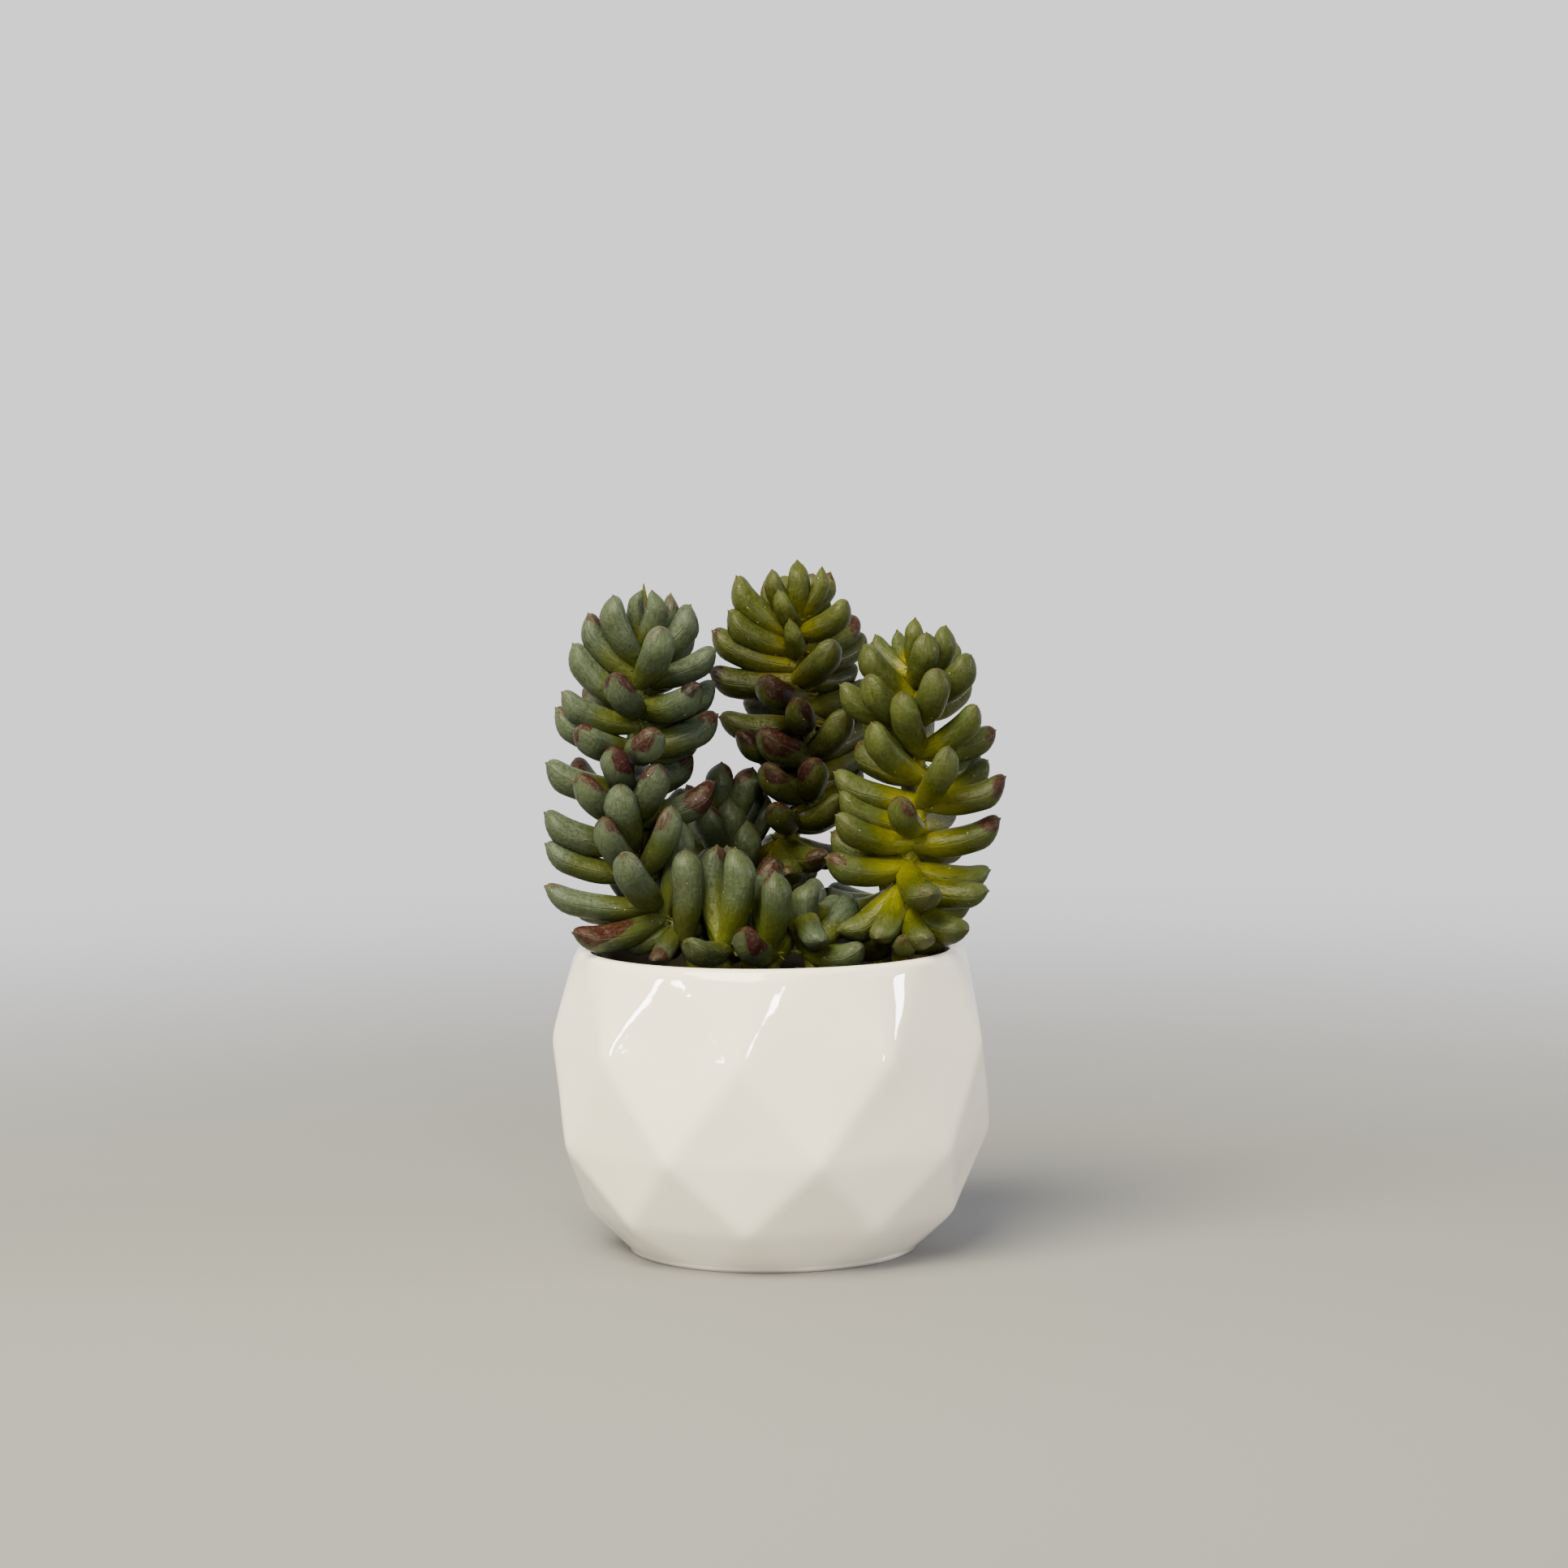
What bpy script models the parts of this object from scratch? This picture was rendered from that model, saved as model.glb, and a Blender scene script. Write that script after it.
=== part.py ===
"""Potted sedum: a faceted glazed pot filled with dark grit, and leafy stems that stand in holes in it.

Lengths are in millimetres until a mesh is made, in metres, by the factor MM. The origin is the middle of
the pot's flat base, +Z is up, and -Y is the front. A bearing is an angle about +Z counted from the front
towards +X, and a rise is an angle above the horizontal, both in degrees.
"""
import math

import bmesh
import bpy
import numpy as np
from mathutils import Matrix, Vector

MM = 0.001

# Pot: a thin round rim over three belts of nine corners, each belt turned half a step from the next.
POT_HEIGHT = 55.0
POT_SIDES = 9
POT_TURN = -7.9
RIM_RADIUS = 35.3
RIM_WALL = 3.0
RIM_CHAMFER = 0.7
SHOULDER_RADIUS, SHOULDER_HEIGHT = 39.9, 38.9
BELLY_RADIUS, BELLY_HEIGHT = 39.8, 20.8
HEEL_RADIUS, HEEL_HEIGHT = 34.1, 7.6
BASE_RADIUS = 25.6
ROUND_STEPS = 40

# Cavity: a flat floor, a sloping heel and an upright wall up to the rim.
FLOOR_THICKNESS = 5.0
CAVITY_FLOOR_RADIUS = 22.0
CAVITY_HEEL_RADIUS, CAVITY_HEEL_HEIGHT = 28.5, 9.0
CAVITY_WALL_HEIGHT = 20.0

# Grit: it fills the cavity to a low dome, with a plain hole for each stem.
CONTACT_GAP = 0.3
GRIT_EDGE = 46.0
GRIT_DOME = 1.4
DOME_STEPS = 2
HOLE_FLOOR = 39.0
HOLE_RADIUS = 2.5
HOLE_SIDES = 8

# Stems: round, a little thinner at the tip, upright in their holes.
STEM_FOOT = HOLE_FLOOR + CONTACT_GAP
STEM_STRAIGHT = 48.5
STEM_RADIUS = 1.7
STEM_TIP_RADIUS = 1.0
CURVE_STEPS = 2

# Leaves: plump fingers with a narrow neck and a blunt end, hollow-backed, with the upper side up.
LEAF_WIDTH, FULL_LEAF = 5.6, 14.0
LEAF_THICKNESS = 0.9
LEAF_CURL = 0.30
LEAF_NECK = 0.50
LEAF_SHOULDER, LEAF_BLUNT = 0.50, 0.78
LEAF_SIDES = 5
LEAF_FULLNESS = 1.10
LEAF_RINGS = 4
RING_CROWDING = 0.8

# Filling in a whorl: unseen leaves behind, where there is room, each a little unlike the rest.
UNSEEN_BEARINGS = (135, 180, 225)
UNSEEN_RISE = 32.0
LEAF_SPACING = 50.0
SEED = 11
TURN_WANDER = 8.0
HEIGHT_WANDER = 1.5
LENGTH_WANDER = 0.06
WIDTH_WANDER = 0.09

# Bending clear: leaves turn about their roots away from other stems, the rim and the grit.
CLEAR_GAP = 0.5
CLEAR_ROUNDS = 150
CLEAR_STATIONS = (0.14, 0.28, 0.42, 0.56, 0.70, 0.82, 0.93)
SQUEEZE = 0.62
SEEN_GIVE = 0.25

# Each plant: the points its stem passes through above the grit, then its whorls from the top down, as
# (height of the roots, leaf length, then the tips of the leaves that the front shows). A tip is its x and
# its height, with -1 after them on a leaf that leans back.
PLANTS = {
    "stem_left": (
        ((-13.5, -11, 53), (-15.5, -10.5, 58), (-19.5, -9, 62), (-23, -8, 68.5), (-25, -7.5, 77),
         (-25, -7, 87), (-24, -6.5, 94), (-22.8, -6, 100), (-22.5, -6, 112)),
        ((111.5, 9, (-22.8, 120.5)),
         (109.5, 11, (-18.5, 119.5), (-16.6, 119, -1)),
         (106.5, 14, (-28.3, 118.7), (-12.7, 116.5), (-13.8, 112, -1)),
         (103.5, 15, (-32.7, 115.3), (-18.7, 113), (-8.8, 108.8)),
         (98.5, 15.5, (-35.3, 110), (-27, 104.5), (-11.7, 102.2), (-8.8, 101.5, -1)),
         (95.5, 15, (-37.2, 101), (-32.5, 102, -1), (-11.7, 97.5, -1)),
         (91.5, 15.5, (-38.6, 98), (-33.6, 95.3), (-20, 94.5), (-8.5, 97), (-12.7, 92, -1)),
         (84, 15.5, (-27.5, 92), (-40.2, 88.3), (-13.8, 89.8, -1)),
         (79, 16.5, (-33.3, 87), (-18.6, 88.9), (-9, 84)),
         (74, 16.5, (-40.7, 79.3), (-26.7, 85.5)),
         (69, 17, (-16.6, 81.5), (-40.5, 74), (-30, 79.6)),
         (63.5, 18, (-40.6, 66.2), (-36.5, 63.5, -1), (-26.2, 73.6)),
         (61.5, 17.5, (-13.8, 79.2), (-35, 58.3)),
         (59.5, 10.5, (-27, 56), (-20.5, 54)),
         (57.5, 17.5, (-14.1, 74.5)))),
    "stem_middle": (
        ((-4, 9, 54), (-3, 10, 60), (0.5, 11, 69), (5, 12, 77), (8, 12, 85), (7.5, 12, 93),
         (6, 12, 100), (5.3, 12, 107), (5.5, 12, 116)),
        ((114, 10.5, (5.8, 124.2), (11.1, 122.7), (0.5, 122.3)),
         (112, 9.5, (2, 119)),
         (110.5, 13.5, (-6.5, 120.7), (15.2, 116.4), (8, 121.7, -1)),
         (108, 14.5, (-8, 113.6)),
         (107, 9.5, (4.3, 113)),
         (105, 17, (-10.3, 111.5, -1), (18, 110, -1)),
         (102.5, 15.5, (-10.9, 103.4), (12.3, 109.2), (16.7, 103.2, -1)),
         (99.5, 15.5, (-1, 102.5), (14, 96.7, -1)),
         (97, 15.5, (19, 100, -1), (1, 101, -1)),
         (94.5, 16, (-9.2, 95.3), (5.8, 98.8)),
         (89, 16, (-2, 92.8), (-6.4, 91), (15.3, 96.3)),
         (85, 16, (19, 91, -1), (2, 93, -1)),
         (81.5, 15.5, (-0.9, 86.8), (8.5, 88.2)),
         (79.5, 15, (17.5, 84.5, -1)),
         (76.5, 15, (13.4, 81), (1, 80)),
         (72.5, 13.5, (4.9, 66.8), (8.8, 69.5)),
         (64, 14, (-8, 72), (2, 70)))),
    "stem_right": (
        ((23, -9, 53), (23.2, -9, 60), (24, -9, 67), (25.5, -8.5, 74), (27.3, -8, 80.5),
         (27, -8, 88), (26.6, -8, 95), (26.3, -8, 108)),
        ((106, 9, (26, 114.2), (22.6, 110.8, -1)),
         (103, 12, (28.7, 111.4), (32.5, 112.6)),
         (99.5, 14.5, (16.7, 109.5), (36.7, 107.3), (33, 106.5, -1)),
         (96, 15.5, (17, 104), (30.2, 105.2), (12.3, 101.8)),
         (90.5, 15.5, (23.8, 101.3), (37.5, 98.7), (41.2, 93.5, -1)),
         (86, 15.5, (17.8, 95.6), (15.8, 90.9, -1), (38.5, 88.4, -1)),
         (81.5, 16, (11.3, 86.3), (32.2, 91), (42.7, 84.7)),
         (77, 15.5, (12, 82.4), (22.8, 82.3), (32.7, 79.3, -1)),
         (74, 16, (41.8, 77.4), (35.3, 72.8, -1), (11.5, 79)),
         (70, 15.5, (39.7, 67.7, -1), (28.5, 65.5), (9.8, 71.2), (10.8, 75, -1)),
         (67, 15.5, (39.2, 65.5), (18.8, 57.8), (12.3, 57.8)),
         (64, 15, (36.2, 62.2, -1), (35, 58.6), (27, 55.5)),
         (58, 12, (24.3, 57.5)))),
    "shoot_front_left": (
        ((-7.5, -14, 52), (-8, -14, 58)),
        ((57, 18, (-5.3, 74.5)),
         (56, 13.5, (-14.6, 58), (-10.5, 67, -1), (-8, 64, -1)))),
    "shoot_front": (
        ((0.5, -14.5, 52), (-0.5, -14.5, 57)),
        ((56, 15.5, (1.2, 70.3), (3.8, 67, -1)),
         (55, 13.5, (-5, 60), (-3, 66, -1)))),
    "shoot_front_right": (
        ((7.5, -12.5, 52), (6.5, -11.5, 58), (5.5, -11, 64)),
        ((63, 12, (8.8, 57.3), (3.5, 67, -1)),
         (55, 13, (16.4, 56.5), (6.5, 68, -1)))),
    "stem_back_left": (
        ((-11, 14, 53), (-9.5, 14, 62), (-8, 13, 70), (-7.5, 12.5, 77)),
        ((75.5, 12.5, (-9, 87.5), (-4, 86.5)),
         (72.5, 13.5, (-0.5, 83, -1), (-13.5, 83, -1)),
         (70.5, 14.5, (-12, 80), (-15, 74, -1), (0, 76, -1)),
         (67.5, 15, (-6, 81.5)),
         (64, 15.5, (-16, 72, -1), (-20, 66, -1), (-3, 75.5)),
         (58, 14, (-16, 62, -1), (-2, 63, -1)))),
    "stem_back_right": (
        ((20.5, 15, 53), (21.5, 15.5, 60), (21, 15.5, 66)),
        ((65, 11, (18, 73, -1), (25, 73, -1)),
         (61, 14, (9.5, 62.8), (31, 66, -1)),
         (56, 13.5, (12, 57, -1), (30, 58, -1)))),
}

COLOURS = {
    "glaze": ((0.80, 0.78, 0.72, 1), 0.18),
    "grit": ((0.03, 0.026, 0.022, 1), 0.95),
    "stem_left": ((0.13, 0.17, 0.12, 1), 0.45),
    "stem_middle": ((0.13, 0.15, 0.04, 1), 0.45),
    "stem_right": ((0.20, 0.22, 0.05, 1), 0.45),
    "shoot": ((0.14, 0.17, 0.09, 1), 0.45),
}


def material(name):
    """A Principled material with the colour and roughness that COLOURS gives for the name."""
    colour, roughness = COLOURS[name]
    made = bpy.data.materials.new(name)
    made.use_nodes = True
    shader = made.node_tree.nodes["Principled BSDF"]
    shader.inputs["Base Color"].default_value = colour
    shader.inputs["Roughness"].default_value = roughness
    shader.inputs["Metallic"].default_value = 0.0
    return made


def add_object(name, mesh, collection, finish=None):
    """An object for the mesh in the collection, with a material of its own where it has a finish."""
    made = bpy.data.objects.new(name, mesh)
    collection.objects.link(made)
    if finish:
        mesh.materials.clear()
        mesh.materials.append(finish)
    return made


def ring(radius, height, count, turn=0.0):
    """Points evenly spaced round +Z, the first at the bearing `turn`."""
    bearings = [math.radians(turn + 360.0 * step / count) for step in range(count)]
    return [Vector((radius * math.sin(b), -radius * math.cos(b), height)) * MM for b in bearings]


def turned(name, profile, collection):
    """A solid of revolution from a profile that runs down its outer side and ends on the axis."""
    mesh = bpy.data.meshes.new(name)
    mesh.from_pydata([(r * MM, 0.0, z * MM) for r, z in profile],
                     [(i, i + 1) for i in range(len(profile) - 1)], [])
    made = add_object(name, mesh, collection)
    screw = made.modifiers.new("turn", "SCREW")
    screw.steps = ROUND_STEPS
    screw.render_steps = ROUND_STEPS
    screw.use_merge_vertices = True
    screw.merge_threshold = 0.00001
    return made


def as_cutter(made):
    made.hide_render = True
    made.display_type = "WIRE"
    return made


def cut(made, cutter):
    boolean = made.modifiers.new(cutter.name, "BOOLEAN")
    boolean.operation = "DIFFERENCE"
    boolean.object = cutter


def evaluated_mesh(made):
    graph = bpy.context.evaluated_depsgraph_get()
    return bpy.data.meshes.new_from_object(made.evaluated_get(graph))


def pot(collection, cutters):
    """The hull of the rim, the three belts and the base, hollowed by the turned cavity."""
    half_step = 180.0 / POT_SIDES
    shape = bmesh.new()
    points = ring(RIM_RADIUS - RIM_CHAMFER, POT_HEIGHT, ROUND_STEPS)
    points += ring(RIM_RADIUS, POT_HEIGHT - RIM_CHAMFER, ROUND_STEPS)
    points += ring(SHOULDER_RADIUS, SHOULDER_HEIGHT, POT_SIDES, POT_TURN)
    points += ring(BELLY_RADIUS, BELLY_HEIGHT, POT_SIDES, POT_TURN + half_step)
    points += ring(HEEL_RADIUS, HEEL_HEIGHT, POT_SIDES, POT_TURN)
    points += ring(BASE_RADIUS, 0.0, ROUND_STEPS)
    for point in points:
        shape.verts.new(point)
    bmesh.ops.convex_hull(shape, input=shape.verts)
    bmesh.ops.dissolve_limit(shape, angle_limit=math.radians(0.5), verts=shape.verts, edges=shape.edges)
    mesh = bpy.data.meshes.new("pot")
    shape.to_mesh(mesh)
    shape.free()
    made = add_object("pot", mesh, collection, material("glaze"))

    inner = RIM_RADIUS - RIM_WALL
    profile = ((0, POT_HEIGHT + RIM_WALL), (inner, POT_HEIGHT + RIM_WALL), (inner, CAVITY_WALL_HEIGHT),
               (CAVITY_HEEL_RADIUS, CAVITY_HEEL_HEIGHT), (CAVITY_FLOOR_RADIUS, FLOOR_THICKNESS),
               (0, FLOOR_THICKNESS))
    cut(made, as_cutter(turned("cavity", profile, cutters)))
    return made


def grit(collection, cutters):
    """The cavity's shape less the contact gap, domed on top, with a hole under each plant."""
    inner = RIM_RADIUS - RIM_WALL - CONTACT_GAP
    dome = [(inner * step / DOME_STEPS, GRIT_EDGE + GRIT_DOME * math.cos(math.pi / 2 * step / DOME_STEPS))
            for step in range(DOME_STEPS + 1)]
    profile = dome + [(inner, CAVITY_WALL_HEIGHT),
                      (CAVITY_HEEL_RADIUS - CONTACT_GAP, CAVITY_HEEL_HEIGHT + CONTACT_GAP),
                      (CAVITY_FLOOR_RADIUS - CONTACT_GAP, FLOOR_THICKNESS + CONTACT_GAP),
                      (0, FLOOR_THICKNESS + CONTACT_GAP)]
    made = turned("soil", profile, collection)
    made.data.materials.append(material("grit"))
    depth = POT_HEIGHT - HOLE_FLOOR
    for name, (points, _) in PLANTS.items():
        foot_x, foot_y, _ = stem_foot(points)
        shape = bmesh.new()
        middle = Vector((foot_x, foot_y, HOLE_FLOOR + depth / 2))
        bmesh.ops.create_cone(shape, cap_ends=True, segments=HOLE_SIDES, radius1=HOLE_RADIUS * MM,
                              radius2=HOLE_RADIUS * MM, depth=depth * MM,
                              matrix=Matrix.Translation(middle * MM))
        mesh = bpy.data.meshes.new("hole_" + name)
        shape.to_mesh(mesh)
        shape.free()
        cut(made, as_cutter(add_object("hole_" + name, mesh, cutters)))
    return made


def stem_foot(points):
    """The point on the hole's floor from which a stem rises straight to its first listed point."""
    return points[0][0], points[0][1], STEM_FOOT


def stem_line(points):
    """Points along a stem: straight up out of its hole, then a Catmull-Rom curve through its points."""
    foot = stem_foot(points)
    way = np.array([foot, (foot[0], foot[1], STEM_STRAIGHT)] + list(points), float)
    ends = np.vstack([2 * way[0] - way[1], way, 2 * way[-1] - way[-2]])
    t = np.linspace(0, 1, CURVE_STEPS, endpoint=False)[:, None]
    spans = [0.5 * (2 * b + (c - a) * t + (2 * a - 5 * b + 4 * c - d) * t ** 2
                    + (3 * b - a - 3 * c + d) * t ** 3)
             for a, b, c, d in zip(ends[:-3], ends[1:-2], ends[2:-1], ends[3:])]
    return np.vstack(spans + [way[-1:]])


def half_width(t):
    """Half the leaf's width along its length, for a width of 1: a sine swell, then a blunt round end."""
    t = np.asarray(t, float)
    swell = LEAF_NECK + (1 - LEAF_NECK) * np.sin(np.pi / 2 * np.minimum(t / LEAF_SHOULDER, 1)) ** 1.2
    past = np.maximum(0, (t - LEAF_BLUNT) / (1 - LEAF_BLUNT))
    return 0.5 * swell * np.maximum(0, 1 - past ** 2) ** 0.5


def seen_leaf(root, full_length, tip):
    """A leaf that the front shows, as its bearing, rise and length.

    Its tip's place sets how far it reaches across and up. What is left of its length leans to the front,
    or to the back where the tip has a third value. A tip out of reach makes the leaf longer.
    """
    across, climb = tip[0] - root[0], tip[1] - root[2]
    shown = math.hypot(across, climb)
    length = max(full_length, shown)
    forward = math.sqrt(length ** 2 - shown ** 2) * (1 if len(tip) == 2 else tip[2])
    return math.degrees(math.atan2(across, forward)), math.degrees(math.asin(climb / length)), length


def whole_whorl(root, full_length, tips):
    """The leaves that show, with a looseness of 0, then the ones of 1 behind that stand clear of them."""
    seen = [seen_leaf(root, full_length, tip) for tip in tips]
    rise = min(UNSEEN_RISE, sum(rise for _, rise, _ in seen) / len(seen))
    unseen = [(bearing, rise, full_length) for bearing in UNSEEN_BEARINGS
              if all(abs((bearing - other + 180) % 360 - 180) > LEAF_SPACING for other, _, _ in seen)]
    return [leaf + (0,) for leaf in seen] + [leaf + (1,) for leaf in unseen]


def place_leaves():
    """Every leaf as arrays: plant, root, aim, outward bearing as a vector, length, width and looseness."""
    draw = np.random.default_rng(SEED)
    plant, root, aim, out, length, width, free = [], [], [], [], [], [], []
    for number, (points, whorls) in enumerate(PLANTS.values()):
        line = stem_line(points)
        for height, full_length, *tips in whorls:
            middle = [np.interp(height, line[:, 2], line[:, axis]) for axis in range(3)]
            for bearing, rise, own_length, loose in whole_whorl(middle, full_length, tips):
                change = draw.uniform(-1, 1, 5)
                bearing = math.radians(bearing + change[0] * loose * TURN_WANDER)
                rise = math.radians(rise + change[1] * loose * TURN_WANDER)
                own_length *= 1 + change[2] * loose * LENGTH_WANDER
                at = min(height + change[3] * loose * HEIGHT_WANDER, line[-1, 2] - STEM_TIP_RADIUS)
                outward = np.array([math.sin(bearing), -math.cos(bearing), 0.0])
                plant.append(number)
                root.append([np.interp(at, line[:, 2], line[:, axis]) for axis in range(3)])
                aim.append(outward * math.cos(rise) + np.array([0, 0, math.sin(rise)]))
                out.append(outward)
                length.append(own_length)
                free.append(loose)
                share = min(1, own_length / FULL_LEAF) ** 0.8
                width.append(LEAF_WIDTH * share * (1 + change[4] * WIDTH_WANDER))
    return [np.array(column) for column in (plant, root, aim, out, length, width, free)]


def upper_side(aim, out):
    """The unit normal of each leaf's upper side: up, leaning back as the leaf rises, square to its aim."""
    normal = -out * aim[:, 2:]
    normal[:, 2] += np.sqrt(np.maximum(0, 1 - aim[:, 2] ** 2))
    normal -= aim * (normal * aim).sum(1, keepdims=True)
    return normal / np.linalg.norm(normal, axis=1, keepdims=True)


def midline(root, aim, out, length, t):
    """Points along each leaf's middle: its chord, sagging below it by a parabola and back at the tip."""
    t = np.asarray(t)[None, :, None]
    sag = LEAF_CURL * (t ** 2 - t) * upper_side(aim, out)[:, None, :]
    return root[:, None, :] + length[:, None, None] * (t * aim[:, None, :] + sag)


def bend_clear(plant, root, aim, out, length, width, free):
    """Turn leaves about their roots until they clear what they would cross.

    Each leaf is a row of balls along its middle. In each round a ball that is too near another plant's
    ball or stem, the grit or the rim is pushed straight out, and the leaf's aim turns with its balls.
    Leaves of one plant may press into each other a little, and a leaf that shows gives way less than a
    loose one. The first half of the rounds also pulls each leaf back towards its first aim.
    """
    stations = np.array(CLEAR_STATIONS)
    count, each = len(aim), len(stations)
    start = aim.copy()
    radius = (half_width(stations)[None, :] * width[:, None]).ravel()
    owner = plant[np.repeat(np.arange(count), each)]
    leaf = np.repeat(np.arange(count), each)
    outer = np.tile(stations > 0.4, count)
    give = np.where(free, 1.0, SEEN_GIVE)[:, None]
    stems = [stem_line(points) for points, _ in PLANTS.values()]
    post = np.vstack(stems)
    post_owner = np.repeat(np.arange(len(stems)), [len(line) for line in stems])
    wall_middle, wall_half = RIM_RADIUS - RIM_WALL / 2, RIM_WALL / 2
    for step in range(CLEAR_ROUNDS):
        ball = midline(root, aim, out, length, stations).reshape(-1, 3)
        if step % 15 == 0:
            apart = np.linalg.norm(ball[:, None] - ball[None], axis=2)
            same = owner[:, None] == owner[None]
            near = (apart < radius[:, None] + radius[None] + 3) & (leaf[:, None] < leaf[None])
            near &= ~same | (outer[:, None] & outer[None])
            one, two = np.where(near)
            alike = same[one, two]
            keep = (radius[one] + radius[two]) * np.where(alike, SQUEEZE, 1) + np.where(alike, 0, CLEAR_GAP)
            apart = np.linalg.norm(ball[:, None] - post[None], axis=2)
            beside = (apart < radius[:, None] + STEM_RADIUS + 4) & (owner[:, None] != post_owner[None])
            third, stake = np.where(beside)
        push = np.zeros_like(ball)
        away = ball[one] - ball[two]
        apart = np.linalg.norm(away, axis=1) + 1e-9
        away *= (np.maximum(0, keep - apart) / apart / 2)[:, None]
        np.add.at(push, one, away)
        np.add.at(push, two, -away)
        away = ball[third] - post[stake]
        apart = np.linalg.norm(away, axis=1) + 1e-9
        away *= (np.maximum(0, radius[third] + STEM_RADIUS + CLEAR_GAP - apart) / apart)[:, None]
        np.add.at(push, third, away)
        push[:, 2] += np.maximum(0, GRIT_EDGE + GRIT_DOME + CLEAR_GAP + radius - ball[:, 2])
        reach = np.hypot(ball[:, 0], ball[:, 1]) + 1e-9
        across = reach - wall_middle
        over = ball[:, 2] - np.minimum(ball[:, 2], POT_HEIGHT - wall_half)
        apart = np.hypot(across, over) + 1e-9
        short = np.maximum(0, radius + wall_half + CLEAR_GAP - apart) / apart
        push += np.stack([short * across * ball[:, 0] / reach, short * across * ball[:, 1] / reach,
                          short * over], axis=1)
        turn = (push.reshape(count, each, 3) * stations[None, :, None]).sum(1)
        turn *= 1.5 * give / (stations ** 2).sum() / length[:, None]
        home = 0.05 if step < CLEAR_ROUNDS / 2 else 0.0
        aim = aim + turn + (start - aim) * home
        aim /= np.linalg.norm(aim, axis=1, keepdims=True)
    return aim


def leaf_mesh(name, root, aim, out, length, width):
    """A sphere drawn out along the leaf's middle, each ring a flattened circle square to the aim."""
    shape = bmesh.new()
    bmesh.ops.create_uvsphere(shape, u_segments=LEAF_SIDES, v_segments=LEAF_RINGS, radius=1.0)
    unit = np.array([vert.co[:] for vert in shape.verts])
    t = ((1 + unit[:, 2]) / 2) ** RING_CROWDING
    girth = np.maximum(1e-9, np.hypot(unit[:, 0], unit[:, 1]))
    spread = half_width(t) * width * LEAF_FULLNESS * np.where(girth > 1e-6, 1, 0) / girth
    normal = upper_side(aim[None], out[None])[0]
    side = np.cross(aim, normal)
    middle = midline(root[None], aim[None], out[None], np.array([length]), t)[0]
    place = middle + (unit[:, 0] * spread)[:, None] * side
    place += (unit[:, 1] * spread * LEAF_THICKNESS)[:, None] * normal
    for vert, point in zip(shape.verts, place):
        vert.co = Vector(point) * MM
    bmesh.ops.recalc_face_normals(shape, faces=shape.faces)
    mesh = bpy.data.meshes.new(name)
    shape.to_mesh(mesh)
    shape.free()
    return mesh


def stem_mesh(name, points):
    """A round bevelled curve along the stem's line, made a mesh with its caps welded on."""
    line = stem_line(points)
    curve = bpy.data.curves.new(name, "CURVE")
    curve.dimensions = "3D"
    curve.bevel_depth = STEM_RADIUS * MM
    curve.bevel_resolution = 1
    curve.use_fill_caps = True
    spline = curve.splines.new("POLY")
    spline.points.add(len(line) - 1)
    for number, (point, place) in enumerate(zip(spline.points, line)):
        point.co = (*(place * MM), 1.0)
        share = number / (len(line) - 1)
        point.radius = 1 + (STEM_TIP_RADIUS / STEM_RADIUS - 1) * share
    made = bpy.data.objects.new(name, curve)
    bpy.context.scene.collection.objects.link(made)
    mesh = evaluated_mesh(made)
    bpy.data.objects.remove(made)
    shape = bmesh.new()
    shape.from_mesh(mesh)
    bmesh.ops.remove_doubles(shape, verts=shape.verts, dist=0.000001)
    shape.to_mesh(mesh)
    shape.free()
    return mesh


def keep_largest_body(mesh):
    """Drop the closed pockets and loose scraps that a union can leave, and keep the one outer body."""
    shape = bmesh.new()
    shape.from_mesh(mesh)
    waiting = set(shape.verts)
    bodies = []
    while waiting:
        edge = [waiting.pop()]
        body = set(edge)
        while edge:
            for link in edge.pop().link_edges:
                for vert in link.verts:
                    if vert in waiting:
                        waiting.remove(vert)
                        body.add(vert)
                        edge.append(vert)
        bodies.append(body)
    bodies.sort(key=len)
    scraps = [vert for body in bodies[:-1] for vert in body]
    bmesh.ops.delete(shape, geom=scraps, context="VERTS")
    shape.to_mesh(mesh)
    shape.free()


def leafy_stem(name, points, leaves, collection):
    """One plant: its stem with every leaf joined to it by one union."""
    made = add_object(name, stem_mesh(name, points), collection)
    repeats = bpy.data.collections.new(name + "_leaves")
    bpy.context.scene.collection.children.link(repeats)
    for number, leaf in enumerate(zip(*leaves)):
        label = f"{name}_leaf_{number:02d}"
        add_object(label, leaf_mesh(label, *leaf), repeats)
    union = made.modifiers.new("join", "BOOLEAN")
    union.operation = "UNION"
    union.operand_type = "COLLECTION"
    union.collection = repeats
    mesh = evaluated_mesh(made)
    made.modifiers.clear()
    made.data = mesh
    for leaf in list(repeats.objects):
        bpy.data.objects.remove(leaf)
    bpy.data.collections.remove(repeats)
    keep_largest_body(mesh)
    mesh.materials.clear()
    mesh.materials.append(material(name if name in COLOURS else "shoot"))
    mesh.shade_smooth()
    mesh.set_sharp_from_angle(angle=math.radians(50))
    return made


for old in list(bpy.data.objects):
    bpy.data.objects.remove(old)

model = bpy.data.collections.new("potted_sedum")
cutting = bpy.data.collections.new("cutters")
bpy.context.scene.collection.children.link(model)
bpy.context.scene.collection.children.link(cutting)

pot(model, cutting)
grit(model, cutting)
plant, root, aim, out, length, width, free = place_leaves()
aim = bend_clear(plant, root, aim, out, length, width, free)
for index, (plant_name, (stem_points, _)) in enumerate(PLANTS.items()):
    mine = plant == index
    leafy_stem(plant_name, stem_points, [column[mine] for column in (root, aim, out, length, width)], model)
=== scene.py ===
import math

import bpy
import numpy as np
from mathutils import Matrix, Vector


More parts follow.
